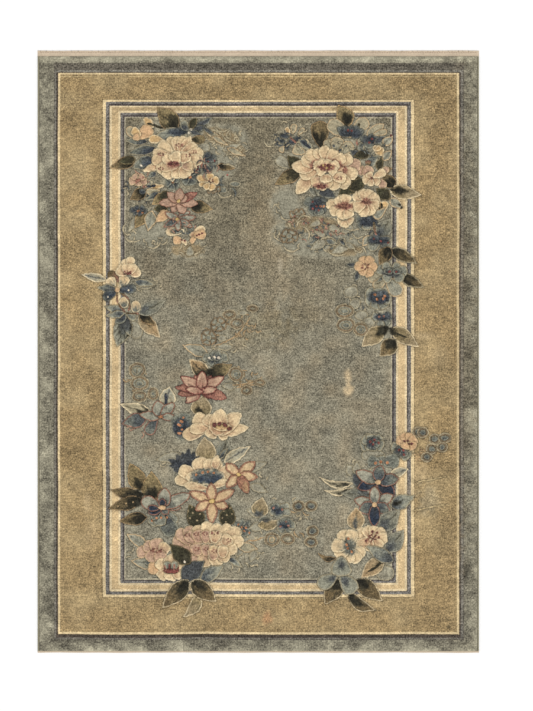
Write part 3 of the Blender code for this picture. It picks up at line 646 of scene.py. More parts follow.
FOOT_LEFT_UPPER = [
    ("tangle", "tan curl", (228, 327, 62, 36, 28)),
    ("tangle", "curl", (226, 346, 40, 14, 9)),
    ("tangle", "tan curl", (141, 384, 30, 38, 16), (248, 382, 36, 22, 16)),
    ("tangle", "curl", (236, 384, 26, 12, 5)),
    ("tangle", "rose curl", (146, 424, 40, 26, 8)),
    ("ring", "slate petal", (137.2, 370.5, 15, 14)),
    ("petal", "slate petal", (137, 374.5, 134, 367.5, 6), (137, 374.5, 140.5, 367.5, 6)),
    ("ring", "slate petal", (139.5, 383.4, 16, 13), (139.5, 396.5, 13, 9), (153, 393.7, 9, 11)),
    ("flower", "ring", (218.5, 324.5, 17, 14, 5, 10), (208.5, 337.5, 16, 17, 5, 40)),
    ("ring", "slate petal", (229.5, 314.5, 12, 8), (237, 323.5, 13, 9), (252.5, 308.5, 10, 5.5)),
    ("oval", "ghost", (243, 313, 9, 5, 0), (222, 338, 9, 7, 0), (225, 347, 16, 7, 0)),
    ("stem", "tan line", (214, 346, 250, 317, 1.4, 0.12)),
    ("leaf", "ghost", (236, 386, 222, 386, 8)),
    ("stem", "tan line", (232, 385, 262, 377, 1.6, 0.08), (236, 388, 262, 385, 1.6, -0.05),
     (238, 366, 247, 371, 1.4, 0.15)),
    ("leaf", "pale leaf", (207.5, 354, 183, 345, 12)),
    ("lobe", "slate petal", (214.6, 358.5, 202, 357, 10), (214.6, 358.5, 228.5, 357, 10)),
    ("lobe", "blue petal", (214, 359.5, 208, 363.5, 9), (215, 359.5, 221.5, 363.5, 9),
     (214.6, 360, 209, 353, 9), (214.6, 360, 215, 351, 9), (214.6, 360, 221, 353, 9)),
    ("dots", "white", (2.8, 209, 358, 214.3, 357, 218.8, 357.8)),
    ("leaf", "tan dark leaf", (208, 377, 189.5, 359, 15)),
    ("leaf", "olive leaf", (209.5, 376, 232.5, 364.5, 14.5)),
    ("leaf", "dark wash", (208, 377, 213.5, 366, 10)),
    ("ring", "slate petal", (236, 374.2, 13, 13), (259.5, 382.5, 10, 6), (246.5, 390.5, 10, 8)),
    ("leaf", "core leaf", (152, 414.5, 119.5, 404, 13)),
    ("leaf", "navy vein leaf", (166, 406.5, 169.5, 386, 17)),
    ("stem", "navy", (165.5, 405, 166, 393, 2.4)),
    ("leaf", "tan plain leaf", (199, 417.5, 204, 395, 21)),
    ("leaf", "dark wash", (199, 417, 198, 405, 10)),
    ("point", "lily petal", (201.5, 389, 213, 398, 9)),
    ("point", "blush petal", (201, 389, 185.5, 402.5, 11)),
    ("point", "lily petal", (200, 389, 227, 398.5, 11), (202, 389, 177.5, 394.5, 9),
     (202, 389, 175, 387.5, 8), (202, 391, 194.5, 374.5, 9), (201.5, 391, 212, 375.5, 9)),
    ("point", "blush petal", (199.5, 390, 224, 376.5, 10.5), (203, 390, 180.5, 376.5, 11),
     (201.5, 392, 202.3, 370.5, 11.5), (200, 392, 217, 388.5, 8), (203, 392, 186, 388.5, 8)),
    ("dots", "red", (2.4, 201, 389.5, 204.5, 388)),
    ("petal", "star blue", (157, 417, 147, 434.5, 12)),
    ("leaf", "star blue", (146, 418, 121.5, 424, 15)),
    ("point", "star rose", (161, 416.5, 139.5, 415, 10), (161, 416.5, 156.5, 400.5, 14),
     (161, 416.5, 174.5, 402.5, 11), (161, 416.5, 176, 417.5, 8)),
    ("oval", "orange", (160.7, 416.8, 4.5, 3.2, 0)),
    ("lobe", "teal petal", (183, 428, 181, 440, 14)),
    ("lobe", "blue petal", (182, 426, 172.5, 417, 11), (183, 426, 185.5, 413, 13),
     (183, 427, 193, 420, 9), (182, 427, 172.5, 430, 12)),
    ("lobe", "navy petal", (183, 427, 181, 436.5, 12), (183, 427, 178, 420, 9)),
    ("oval", "navy wash", (181, 427, 18, 20, 0)),
    ("stem", "orange", (177, 424, 181, 426, 2.2), (180.5, 420, 183, 422.5, 2.2),
     (177.5, 432.5, 181.5, 433.5, 2.2)),
    ("dots", "orange", (2.2, 183.5, 417.5, 182, 429.5)),
    ("leaf", "grey leaf", (221.5, 461, 227, 437, 16)),
    ("leaf", "tan plain leaf", (207, 463, 204.5, 437, 21)),
    ("leaf", "navy vein leaf", (224, 462, 250.5, 446, 12)),
    ("leaf", "navy leaf", (219, 459, 228, 447, 5)),
    ("lobe", "cream petal", (212, 426, 193.5, 416.5, 15)),
    ("petal", "cream pink", (210, 427, 183, 436.5, 14)),
    ("petal", "cream petal", (212, 428, 190, 429, 12)),
    ("lobe", "cream petal", (214, 427, 205.5, 415.5, 14)),
    ("petal", "cream petal", (214, 428, 209, 437.5, 14), (218, 429, 228, 437, 14)),
    ("point", "cream petal", (216, 432, 248.5, 427.5, 13), (214, 434, 241.5, 413, 17),
     (217, 436, 220.5, 408.5, 20)),
    ("oval", "peach wash", (222, 427, 24, 13, 0)),
    ("oval", "tan petal", (222.3, 427, 18, 8, 0)),
    ("oval", "maroon", (214.6, 424.8, 4.8, 3.4, 60), (219.4, 423.8, 4.4, 3.4, 0),
     (224.8, 424.8, 4.8, 3.4, 30), (229.4, 428.4, 4.6, 3.4, 0)),
]

FOOT_LEFT_LOWER = [
    ("tangle", "curl", (252, 550, 32, 34, 12), (236, 562, 34, 20, 8), (260, 482, 20, 26, 7),
     (166, 460, 30, 14, 6), (132, 556, 24, 22, 6)),
    ("leaf", "ghost", (183, 455, 155, 460, 11)),
    ("leaf", "pale leaf", (146.7, 546, 126.5, 533.5, 11), (155, 565, 131, 560.5, 12)),
    ("leaf", "blue petal", (154, 564, 143, 562, 6)),
    ("leaf", "beige petal", (238, 546, 258, 549, 10)),
    ("leaf", "ghost", (256, 550, 250, 562, 8)),
    ("leaf", "slate leaf", (228, 557, 243, 568, 7)),
    ("leaf", "ghost", (246, 470, 268, 462, 9), (250, 485, 268, 492, 9)),
    ("leaf", "plain leaf", (142, 490, 129.5, 463, 18), (152, 501, 151.5, 471.5, 21)),
    ("leaf", "brown leaf", (142, 497.5, 110.5, 490, 13), (143, 499, 108, 509, 13.5)),
    ("leaf", "dark wash", (144, 501, 124, 504, 12), (145, 496, 130, 491, 9),
     (152, 500, 146.5, 485, 12), (152, 500, 155, 484, 11), (142, 490, 134, 476, 10)),
    ("leaf", "brown leaf", (147, 517, 119, 521, 13)),
    ("dots", "tan line", (1.5, 118, 506.5, 126, 503.5, 133, 502, 128, 510)),
    ("point", "thistle", (185, 467, 168, 459.2, 7), (184, 468, 168.8, 465.4, 7),
     (184, 469, 173, 470, 7), (184, 468, 176, 454.5, 7), (184, 468, 182.5, 451.5, 7),
     (185, 469, 189, 448.5, 8), (185, 468, 195, 452, 7), (186, 468, 199.5, 456, 7)),
    ("oval", "thistle", (185, 463, 18, 14, 0)),
    ("lobe", "slate petal", (160, 512, 151, 525, 13), (165, 512, 176, 524, 14)),
    ("lobe", "blue petal", (160, 514, 174, 535, 17)),
    ("lobe", "slate petal", (160, 513, 160, 526, 13)),
    ("petal", "blue petal", (161, 512, 151, 518, 9)),
    ("dots", "orange", (2.3, 152.3, 520.5, 156.8, 518.2, 161.2, 517.4, 166.5, 517.4)),
    ("point", "blue petal", (241, 528, 234, 521, 6), (242, 529, 242, 518, 6),
     (243, 528, 250, 520.5, 6), (243, 528, 254, 529, 7)),
    ("petal", "blue petal", (242, 526, 247, 536, 10), (242, 526, 238, 534, 9)),
    ("dots", "orange", (2.3, 238.3, 524.7, 242, 527.4, 244.2, 530.8, 249, 533, 246, 527.6)),
    ("leaf", "green leaf", (200.5, 527.5, 189, 504.5, 18), (226, 527.5, 229, 503.5, 16.5)),
    ("dots", "dun", (1.7, 188, 511, 193, 513, 197, 520, 190, 518, 200, 514, 192, 507, 196, 509),
     (1.7, 224, 511, 222.5, 518, 232, 514, 226, 522, 230, 508, 227, 515)),
    ("lobe", "cream petal", (203, 482, 175, 479, 13), (201, 480, 179.5, 468.5, 14),
     (206, 478, 197, 458, 17), (212, 478, 213, 458.5, 20)),
    ("point", "cream petal", (214, 470, 217.8, 455.5, 9)),
    ("lobe", "cream petal", (213, 479, 236.5, 467.5, 15)),
    ("oval", "cream blue", (205.5, 477, 40, 16, 0)),
    ("oval", "lotus wash", (207, 475.5, 36, 17, 0), (207, 477, 30, 13, 0)),
    ("oval", "deep wash", (208, 478, 30, 12, 0)),
    ("dots", "orange", (2.6, 196.5, 474.6, 202.6, 472.6, 208, 471.5, 214.2, 473)),
    ("petal", "cream petal", (209, 489, 184, 484.5, 9), (210, 488, 227.5, 480.5, 8)),
    ("point", "star cream", (238.8, 474.6, 225.5, 463, 10.5), (238.8, 474.6, 226, 488, 10),
     (238.8, 474.6, 255.5, 461.5, 11), (238.8, 474.6, 258, 477.5, 10.5)),
    ("point", "star brown", (238.8, 474.6, 248, 493, 11)),
    ("dots", "yellow", (4.0, 238.8, 474.6)),
    ("point", "star cream", (211.8, 501.5, 189, 491.5, 10.5), (211.8, 501.5, 194.5, 510, 10),
     (211.8, 501.5, 228.5, 507.5, 10), (211.8, 501.5, 234.5, 489.5, 10.5),
     (211.8, 501.5, 211, 482.5, 10.5), (211.8, 501.5, 211.8, 523.5, 11)),
    ("oval", "yellow", (211.8, 501, 6, 4.5, 0)),
    ("point", "star rose", (162, 508, 181.5, 507.7, 6)),
    ("point", "star blue", (162, 508, 168, 514.5, 8)),
    ("point", "star rose", (162.7, 507.7, 190.5, 493.5, 13)),
    ("point", "deep petal", (162, 508, 148, 513, 9)),
    ("petal", "star rose", (162.7, 507.7, 141.5, 500, 14)),
    ("petal", "deep petal", (160, 508.5, 148, 508, 8)),
    ("point", "star rose", (162.7, 507.7, 165.5, 487.5, 14)),
    ("point", "deep petal", (162.7, 507.7, 162, 498, 8)),
    ("oval", "peach petal", (162.2, 507.7, 8, 4.2, 0)),
    ("lobe", "pale pink", (196, 546, 172.5, 540, 13), (196, 546, 176.5, 530.5, 13),
     (198, 545, 186, 526.5, 13)),
    ("lobe", "cream pink", (202, 544, 197, 525, 13)),
    ("lobe", "cream petal", (206, 544, 208, 521.5, 14), (210, 544, 219.5, 524.5, 14),
     (212, 544, 231, 525.5, 14), (214, 545, 241, 529.5, 14), (214, 547, 244, 540, 14),
     (212, 548, 237.5, 549.5, 14)),
    ("lobe", "pale pink", (200, 548, 192, 565, 15)),
    ("lobe", "cream pink", (206, 548, 204, 567, 15)),
    ("lobe", "cream petal", (210, 548, 220, 566, 15)),
    ("lobe", "cream pink", (212, 548, 229.5, 559, 14)),
    ("lobe", "pale pink", (196, 548, 181, 553, 13), (196, 543, 186.5, 532.5, 12),
     (200, 543, 196, 530, 12), (206, 543, 205.5, 530, 11)),
    ("lobe", "cream petal", (214, 543, 216, 530.5, 13), (222, 545, 231, 536, 13)),
    ("lobe", "pale pink", (198, 556, 195.5, 543.5, 13), (206, 556, 205.5, 544, 11)),
    ("lobe", "cream pink", (214, 560, 213, 545.5, 13)),
    ("lobe", "cream petal", (222, 558, 223.5, 545.5, 12)),
    ("heart", "heart", (187.5, 535, 7, 5, 5), (196.5, 534, 7, 5, 5), (205, 533.5, 7, 5, 5),
     (215, 533, 11, 5, 6), (196.5, 549, 8, 5, 5), (206, 549, 7, 5, 5), (214.5, 551, 8, 5, 5),
     (229, 540, 7, 5, 5)),
    ("lobe", "pale pink", (156, 553, 136.5, 551, 13), (158, 553, 144, 543.5, 13),
     (158, 553, 155.5, 538.5, 15)),
    ("lobe", "cream pink", (160, 553, 167.5, 544, 13)),
    ("lobe", "pale pink", (156, 550, 148, 561, 13), (160, 550, 161, 562, 14)),
    ("heart", "heart", (156, 550.5, 15, 6, 7)),
    ("lobe", "peach petal", (166, 570, 148, 567.5, 13)),
    ("lobe", "cream petal", (168, 570, 157, 560.5, 12)),
    ("point", "cream petal", (171, 570, 173, 553.5, 17)),
    ("lobe", "cream petal", (172, 570, 184.5, 564.5, 13), (168, 569, 159, 578.5, 12)),
    ("petal", "cream blue", (174, 568, 168, 580, 14)),
    ("petal", "cream petal", (172, 571, 182, 577, 10)),
    ("petal", "slate petal", (171, 571, 165.5, 561.5, 8), (172, 571, 176, 561.5, 8)),
    ("oval", "red", (171, 571, 16, 5, 0)),
    ("stem", "rose", (165.5, 571, 164.5, 565, 1.8)),
    ("stem", "red", (169.5, 570, 169, 563.5, 1.8)),
    ("stem", "rose", (173.5, 570, 174.5, 564, 1.8)),
    ("stem", "red", (177.5, 571, 179, 566.5, 1.8)),
    ("leaf", "slate side leaf", (182, 579.5, 204.5, 560.5, 19)),
    ("leaf", "green leaf", (190.5, 563.5, 169.5, 544, 16)),
    ("dots", "white", (2.2, 185, 562)),
    ("leaf", "slate leaf", (200.5, 580, 224, 565.5, 15)),
    ("leaf", "tan plain leaf", (199.5, 594, 183, 617.5, 12, -0.12)),
    ("leaf", "tail leaf", (189, 580.5, 162, 608, 18), (191, 581, 216.5, 601.5, 18)),
    ("leaf", "dark wash", (189.5, 581, 174, 595, 11), (192, 581, 209, 591, 8)),
]

FOOT_MIDDLE = [
    ("tangle", "curl", (283, 503, 30, 10, 6), (258, 532, 34, 14, 8), (300, 520, 26, 14, 6)),
    ("leaf", "ghost", (262, 516, 246, 509, 9), (264, 525, 248, 529, 10)),
    ("leaf", "tan plain leaf", (258, 517, 262.5, 497, 17)),
    ("leaf", "slate wash", (259, 517, 255, 508, 8), (259.5, 517, 263, 509, 6)),
    ("leaf", "grey leaf", (258, 521, 274, 517, 8)),
    ("leaf", "tan plain leaf", (258, 525.5, 281.5, 521.5, 11, 0.06)),
    ("leaf", "slate wash", (262, 521, 274, 520, 5)),
    ("lobe", "slate petal", (277, 509, 290, 506, 9), (279, 511, 291, 513, 8), (276, 509, 269, 506, 8),
     (276, 510, 270, 514, 8)),
    ("lobe", "blue petal", (277, 510, 279, 517, 9), (276, 510, 275, 503, 9)),
    ("oval", "deep wash", (277, 510, 15, 9, 20)),
    ("lobe", "slate petal", (285, 525, 276.5, 522, 8), (285, 526, 279, 532, 9),
     (286, 526, 291, 532.5, 9), (286, 525, 296, 525, 9)),
    ("lobe", "blue petal", (285, 525, 284, 518, 9), (286, 525, 291.5, 520, 8)),
    ("oval", "deep wash", (284.5, 525.5, 15, 9, 10)),
    ("dots", "rose", (2.4, 273.5, 508, 282, 509.5, 280.5, 526.5, 286, 521.5, 288.5, 525.5)),
    ("stem", "tan line", (246, 541, 264, 537, 1.4, 0.06)),
    ("curl", "tan curl", (279, 538, 281, 541, 1.6, 0.2)),
    ("ring", "beige petal", (272, 539.5, 13.5, 12)),
    ("ring", "ghost", (287.5, 539, 13, 9.5)),
    ("curl", "tan curl", (294, 531, 300, 537.5, 1.5, 0.2), (299, 533, 304, 538, 1.5, -0.3),
     (303, 512, 310, 514, 1.5, 0.3), (291, 511, 297, 512, 1.5, 0.2)),
    ("berry", "blue petal", (298.5, 506, 10.5, 9.5), (311, 506, 10.5, 9.5), (312.5, 531, 10.5, 9.5),
     (311, 542, 11.5, 8.5)),
]

FOOT_RIGHT_UPPER = [
    ("tangle", "curl", (360, 466, 34, 14, 9)),
    ("tangle", "tan curl", (424, 448, 30, 24, 12)),
    ("curl", "crease", (414, 482, 446, 476.5, 1.3, 0.02), (412, 511, 449, 504.5, 1.3, -0.02)),
    ("leaf", "ghost", (354, 476, 347, 464, 10), (356, 474, 357, 461, 9)),
    ("oval", "ghost", (373, 455, 24, 12, 0)),
    ("lobe", "slate petal", (372, 443, 360, 446, 13), (372, 443, 363, 436.5, 13),
     (372, 443, 372, 434, 13), (373, 443, 383, 438, 13), (373, 443, 383.5, 447, 12),
     (372, 443, 371, 451, 13)),
    ("lobe", "navy petal", (373, 444, 368.5, 438, 9), (373, 444, 377.5, 437.5, 9),
     (373, 442, 370.5, 449, 10)),
    ("lobe", "blue petal", (373, 442, 379.5, 445.5, 8)),
    ("dots", "red", (2.6, 374.3, 440.2, 378.6, 443, 373.3, 444.6, 370.3, 441.6)),
    ("lobe", "slate petal", (401.5, 450, 391, 446, 12), (401.5, 450, 401, 442.5, 12),
     (402, 450, 411.5, 449, 13), (402, 451, 409, 458.5, 12), (401, 451, 394, 456.5, 12)),
    ("lobe", "navy petal", (402, 451, 395, 449, 9), (402, 451, 404, 445.5, 10)),
    ("lobe", "blue petal", (402, 450, 405, 457, 10)),
    ("dots", "red", (2.6, 399.2, 450, 403.7, 450.3, 403.8, 454.7)),
    ("lobe", "slate petal", (381, 462, 380, 455.5, 11)),
    ("lobe", "teal petal", (380, 463, 367.5, 461, 13), (383, 463, 399, 459.5, 15)),
    ("dots", "orange", (2.8, 375.2, 463, 380.8, 462, 387.5, 463)),
    ("stem", "tan line", (414, 455, 428, 448, 1.5, 0.12), (415, 458, 436, 445, 1.5, 0.1),
     (418, 450, 434, 442, 1.5, 0.15), (416, 459, 424, 459, 1.5, 0.15)),
    ("berry", "blue petal", (418.3, 432, 9, 8.5), (423, 432.5, 9, 8.5), (434.7, 439.2, 9, 8),
     (444.7, 437.8, 11, 8), (431.8, 448.7, 9, 8), (442.2, 447.2, 8.5, 8), (426.7, 457, 9, 8)),
    ("petal", "peach petal", (408, 442, 396, 439.5, 11), (408, 442, 402.5, 433.5, 10),
     (408, 442, 410.5, 433, 10), (408, 442, 417, 438.5, 11), (408, 442, 415, 448.5, 11),
     (407, 442, 404, 449, 11)),
    ("dots", "maroon", (2.6, 404.2, 441.2, 407.9, 440.6, 408.7, 444, 411.5, 443.8)),
    ("leaf", "navy vein leaf", (389.7, 475.8, 409, 468.3, 10)),
    ("leaf", "core leaf", (353.5, 483.3, 319.5, 477.3, 7.5, -0.13),
     (353, 488, 323.5, 490, 6.5, -0.13)),
    ("leaf", "slate side leaf", (364.7, 487, 352, 473, 13.5)),
    ("leaf", "grey leaf", (371, 494.5, 340.5, 493.5, 13)),
    ("leaf", "slate wash", (369, 493.5, 350.5, 493, 6.5)),
    ("leaf", "slate leaf", (390.5, 507, 415, 495.5, 15)),
    ("leaf", "dark wash", (391, 506, 404, 499.5, 7)),
    ("point", "deep petal", (378, 481.7, 357, 488.5, 12), (378, 481.7, 394.5, 496, 14)),
    ("point", "star blue", (378, 481.7, 399, 478, 13)),
    ("point", "star rose", (378, 481.7, 355.5, 471.5, 13)),
    ("point", "star blue", (378, 481.7, 380, 464.5, 13)),
    ("oval", "peach petal", (378, 482, 5.5, 4.5, 0)),
    ("point", "star rose", (374.7, 504.5, 393.5, 494.5, 12), (374.7, 504.5, 354, 499.5, 11)),
    ("point", "star blue", (374.7, 504.5, 358.5, 511.5, 13), (374.7, 504.5, 390, 511.5, 12)),
    ("point", "deep petal", (374.7, 504.5, 374, 526.5, 12)),
    ("point", "star rose", (374.7, 504.5, 374.5, 485.5, 11)),
    ("oval", "peach petal", (374.7, 504.5, 5.5, 4.5, 0)),
]

FOOT_RIGHT_LOWER = [
    ("oval", "ghost", (385, 573, 19, 15, 0)),
    ("leaf", "tan leaf", (355.3, 530, 356.3, 507, 18)),
    ("leaf", "slate wash", (355.3, 530, 355.8, 514.5, 6)),
    ("leaf", "grey leaf", (380, 529, 400, 510, 19)),
    ("leaf", "slate wash", (380, 529, 391, 518.5, 12)),
    ("leaf", "grey leaf", (387, 551.5, 404, 530, 18)),
    ("leaf", "slate wash", (387.5, 551.5, 396, 538, 10)),
    ("leaf", "tan leaf", (383.5, 558.5, 361, 578, 16)),
    ("stem", "dark", (383, 559, 367.5, 571.5, 2.6, -0.1)),
    ("leaf", "brown leaf", (336.5, 558.5, 318, 553, 5.5, -0.16)),
    ("lobe", "cream petal", (372, 538, 353.5, 537.5, 13), (372, 538, 357, 531, 12),
     (372, 538, 365.5, 526.5, 12), (373, 538, 375, 526, 12), (374, 538, 385, 530, 12),
     (374, 539, 387.5, 538, 12), (373, 540, 382, 547.5, 12), (371, 540, 366, 550.5, 14),
     (370, 539, 357, 547, 13)),
    ("stem", "heart", (366, 542, 373, 533, 1.7), (369.5, 543, 376.5, 534.5, 1.7),
     (367, 536, 377, 540, 1.7)),
    ("dots", "maroon", (2.3, 377, 532.8, 378.5, 537.3, 372.5, 531.6, 366.3, 540.5)),
    ("lobe", "cream blue", (349, 546, 341.5, 530.5, 14), (350, 545, 353, 529.5, 13),
     (350, 549, 365, 554, 13), (350, 549, 359, 562, 13), (349, 549, 347.5, 563, 14),
     (348, 548, 336, 557, 14), (348, 547, 331.5, 545, 14)),
    ("oval", "teal wash", (349, 546, 14, 20, -15)),
    ("dots", "orange", (2.6, 348.5, 538.7, 346.7, 544.7, 348, 548.3, 351.7, 551.7)),
    ("leaf", "slate leaf", (393.5, 561.5, 365.5, 545.5, 14)),
    ("leaf", "slate wash", (393.5, 561, 379, 552, 9)),
    ("leaf", "tail leaf", (348.5, 593, 376.5, 610.5, 12, 0.12)),
    ("leaf", "dark wash", (348.5, 593, 366, 607, 9, 0.12)),
    ("leaf", "tail leaf", (340, 579, 325, 604.5, 19)),
    ("leaf", "dark wash", (340, 578.5, 331, 592, 13)),
    ("leaf", "tail leaf", (356, 579.5, 382.5, 601, 18)),
    ("leaf", "dark wash", (356, 579, 372, 590, 11)),
    ("petal", "bud petal", (338.5, 574, 318.5, 586.5, 16), (340, 574, 355, 592.5, 18),
     (341, 556, 341.5, 576.5, 21)),
    ("leaf", "slate wash", (337, 576, 325, 583, 8), (342, 577, 350, 588, 9),
     (341.3, 561, 341.5, 572, 9)),
]

SPRAYS = [
    HEAD_LEFT,
    HEAD_RIGHT,
    RIGHT_MIDDLE,
    LEFT_MIDDLE,
    FOOT_LEFT_UPPER,
    FOOT_LEFT_LOWER,
    FOOT_MIDDLE,
    FOOT_RIGHT_UPPER,
    FOOT_RIGHT_LOWER,
]

# Steps of the drawn outlines and of the mesh, in squares
OUTLINE_STEP = 0.9
LEAST_STEPS = 6
OUTLINE_ROWS = (-1.25, -0.75, -0.06, 0.3, 0.9)
STRIPE_ROWS = (-0.22, 0.22)
STRIPE_STEP = 1.3
SEAM_STEP = 1.2
SEAM_DIGITS = 4
# Steps of the filling points in a motif, near one, in the plain field and in the border
FILL_STEPS = (0.95, 1.6, 2.5, 2.7)
FILL_ROW = 0.87
FILL_ROOM = 0.55
JITTER = 0.3
NEAR = 4.0
ROOM = 0.33
EDGE_ROOM = 0.3
MERGE = 1e-5
TINY = 1e-9

# The half widths of drawn forms along their length, as powers of its share
LEAF_POWER = 0.75
POINT_POWERS = (0.68, 0.78)
POINT_WIDEST = 0.367
BLUNT_FORMS = {
    # name: power at the stem, power at the tip, widest
    "petal": (0.6, 4, 0.74),
    "lobe": (0.35, 6, 0.86),
}
STEM_POWER = 6
OVAL_POWER = 2
LEAST_LENGTH = 1e-6
LEAST_HALF = 0.05
# A wash that fades in over more squares than this has no outline in the mesh
SHARP_FADE = 1.0

# Smooth random fields over the rug: the size of their patches in squares, and each one's seed
NOISES = {
    "mottle": (2.3, 11),
    "tone": (1.3, 12),
    "strand": (1.3, 13),
    "wear": (4.3, 14),
    "rim": (3.1, 15),
    "feather": (1.7, 17),
    "outer": (13.0, 21),
    "gold": (20.0, 22),
    "outer fine": (5.0, 23),
    "halo": (5.5, 24),
    "scroll": (6.5, 25),
    "tint": (15.0, 26),
    "stain": (4.0, 41),
    "shear": (9.0, 51),
    "stray u": (2.6, 81),
    "stray v": (2.6, 82),
}
CLOUD_SEED = 31
DRIFT_SEED = 70
STRAY = 0.5
HASH_FACTORS = (374761393, 668265263, 974634777, 1274126177)
HASH_BITS = 0xFFFFFFFF
HASH_TOP = 0xFFFF


def rgb(name):
    """A dye's red, green and blue."""
    return np.array(DYES[name], dtype=float)


def hashed(cells_x, cells_y, seed):
    """A repeatable random number from 0 to 1 for each cell of a grid."""
    by_x, by_y, by_seed, again = HASH_FACTORS
    number = (cells_x * by_x + cells_y * by_y + seed * by_seed) & HASH_BITS
    number = ((number ^ (number >> 13)) * again) & HASH_BITS
    return ((number ^ (number >> 16)) & HASH_TOP) / HASH_TOP


def value_noise(points, size, seed):
    """Smooth noise from -1 to 1 with cells of this size."""
    scaled = points / size
    cell = np.floor(scaled).astype(np.int64)
    part = scaled - cell
    part = part * part * (3.0 - 2.0 * part)
    x, y = cell[:, 0], cell[:, 1]
    low = hashed(x, y, seed) * (1 - part[:, 0]) + hashed(x + 1, y, seed) * part[:, 0]
    high = hashed(x, y + 1, seed) * (1 - part[:, 0]) + hashed(x + 1, y + 1, seed) * part[:, 0]
    return 2.0 * (low * (1 - part[:, 1]) + high * part[:, 1]) - 1.0


def noise(points, name):
    """One of the random fields, from -1 to 1."""
    return value_noise(points, *NOISES[name])


def smooth(low, high, value):
    """0 up to low, 1 from high on, and an even rise between them."""
    share = np.clip((value - low) / (high - low), 0.0, 1.0)
    return share * share * (3.0 - 2.0 * share)


def unevenness(points):
    """How far the knots stray from the drawn line at each point, in squares."""
    return STRAY * np.stack([noise(points, "stray u"), noise(points, "stray v")], axis=1)


def half_width(form, share):
    """Half the width of a drawn form at each share of its length, as a part of the widest."""
    share = np.clip(share, 0.0, 1.0)
    if form == "leaf":
        return np.sin(math.pi * share**LEAF_POWER)
    if form == "point":
        return share ** POINT_POWERS[0] * (1.0 - share) ** POINT_POWERS[1] / POINT_WIDEST
    if form in BLUNT_FORMS:
        rise, fall, widest = BLUNT_FORMS[form]
        return share**rise * np.sqrt(1.0 - share**fall) / widest
    power = STEM_POWER if form == "stem" else OVAL_POWER
    return np.sqrt(np.clip(1.0 - (2.0 * share - 1.0) ** power, 0.0, 1.0))


class Patch:
    """One drawn form: its outline, and where any point lies along and across it."""

    def __init__(self, form, style, stem, tip, width, bend):
        self.form = form
        self.style = STYLES[style]
        self.fade = -self.style[4]
        self.stem = np.array(stem, dtype=float)
        along = np.array(tip, dtype=float) - self.stem
        self.length = max(float(np.hypot(*along)), LEAST_LENGTH)
        self.along = along / self.length
        self.across = np.array([-self.along[1], self.along[0]])
        self.width = width
        self.bend = bend
        count = max(LEAST_STEPS, int(math.ceil(self.length / OUTLINE_STEP)))
        share = 0.5 - 0.5 * np.cos(math.pi * np.arange(count + 1) / count)
        half = 0.5 * width * half_width(form, share)
        middle = (
            self.stem
            + np.outer(share * self.length, self.along)
            + np.outer(bend * self.length * np.sin(math.pi * share), self.across)
        )
        left = middle + half[:, None] * self.across
        right = middle - half[:, None] * self.across
        drawn = np.concatenate([left, right[-2:0:-1]])
        self.outline = drawn + unevenness(drawn)
        self.low = self.outline.min(axis=0)
        self.high = self.outline.max(axis=0)

    def local(self, points):
        """Share along the form, the side from -1 to 1 across it, and half its width there."""
        offset = points - unevenness(points) - self.stem
        share = offset @ self.along / self.length
        middle = self.bend * self.length * np.sin(math.pi * np.clip(share, 0.0, 1.0))
        half = 0.5 * self.width * half_width(self.form, share) + LEAST_HALF
        return share, (offset @ self.across - middle) / half, half


def inside(points, outline):
    """Whether each point lies within a closed outline."""
    x, y = points[:, 0:1], points[:, 1:2]
    x1, y1 = outline[:, 0], outline[:, 1]
    x2, y2 = np.roll(x1, -1), np.roll(y1, -1)
    spans = (y1 > y) != (y2 > y)
    rise = np.where(y2 == y1, 1.0, y2 - y1)
    crossing = x1 + (y - y1) * (x2 - x1) / rise
    return (spans & (x < crossing)).sum(axis=1) % 2 == 1


def distance(points, outline):
    """How far each point lies from a closed outline."""
    start = outline[None, :, :]
    run = np.roll(outline, -1, axis=0)[None, :, :] - start
    offset = points[:, None, :] - start
    span = np.maximum((run * run).sum(axis=2), TINY)
    share = np.clip((offset * run).sum(axis=2) / span, 0.0, 1.0)
    return np.linalg.norm(offset - share[:, :, None] * run, axis=2).min(axis=1)


def oval_patch(style, u, v, width, height, turn):
    """An oval with its own width and height, turned by degrees."""
    angle = math.radians(turn)
    reach = 0.5 * height * np.array([math.sin(angle), -math.cos(angle)])
    middle = np.array([u, v])
    return Patch("oval", style, middle - reach, middle + reach, width, 0.0)


def flower_patches(style, u, v, width, height, petals, turn):
    """A ring of petals round an eye."""
    petal_style, eye_style, form, fullness, eye = FLOWER_STYLES[style]
    made = []
    for number in range(petals):
        angle = math.radians(turn) + 2.0 * math.pi * number / petals
        out = np.array([0.5 * width * math.cos(angle), 0.5 * height * math.sin(angle)])
        middle = np.array([u, v])
        wide = fullness * 2.0 * math.pi * PETAL_MIDDLE * (width + height) / 2.0 / petals
        made.append(Patch(form, petal_style, middle + PETAL_START * out, middle + out, wide, 0.0))
    made.append(oval_patch(eye_style, u, v, eye * width, eye * height, 0.0))
    return made


def heart_patches(style, u, v, width, height, strokes):
    """A flower's heart: short strokes that stand round its middle."""
    middle = np.array([u, v])
    made = []
    for number in range(strokes):
        angle = 2.0 * math.pi * (number + 0.5) / strokes
        out = np.array([0.5 * width * math.cos(angle), 0.5 * height * math.sin(angle)])
        start, end = (middle + share * out for share in STROKE_SPAN)
        made.append(Patch("stem", style, start, end, STROKE_WIDTH, 0.0))
    return made


def ring_patches(style, u, v, width, height, share):
    """A berry or small flower with a light and a dark line round it."""
    return [
        oval_patch("ring edge", u, v, width + RING_EDGE, height + RING_EDGE, 0.0),
        oval_patch("ring flower", u, v, width, height, 0.0),
        oval_patch(style, u, v, share * width, share * height, 0.0),
    ]


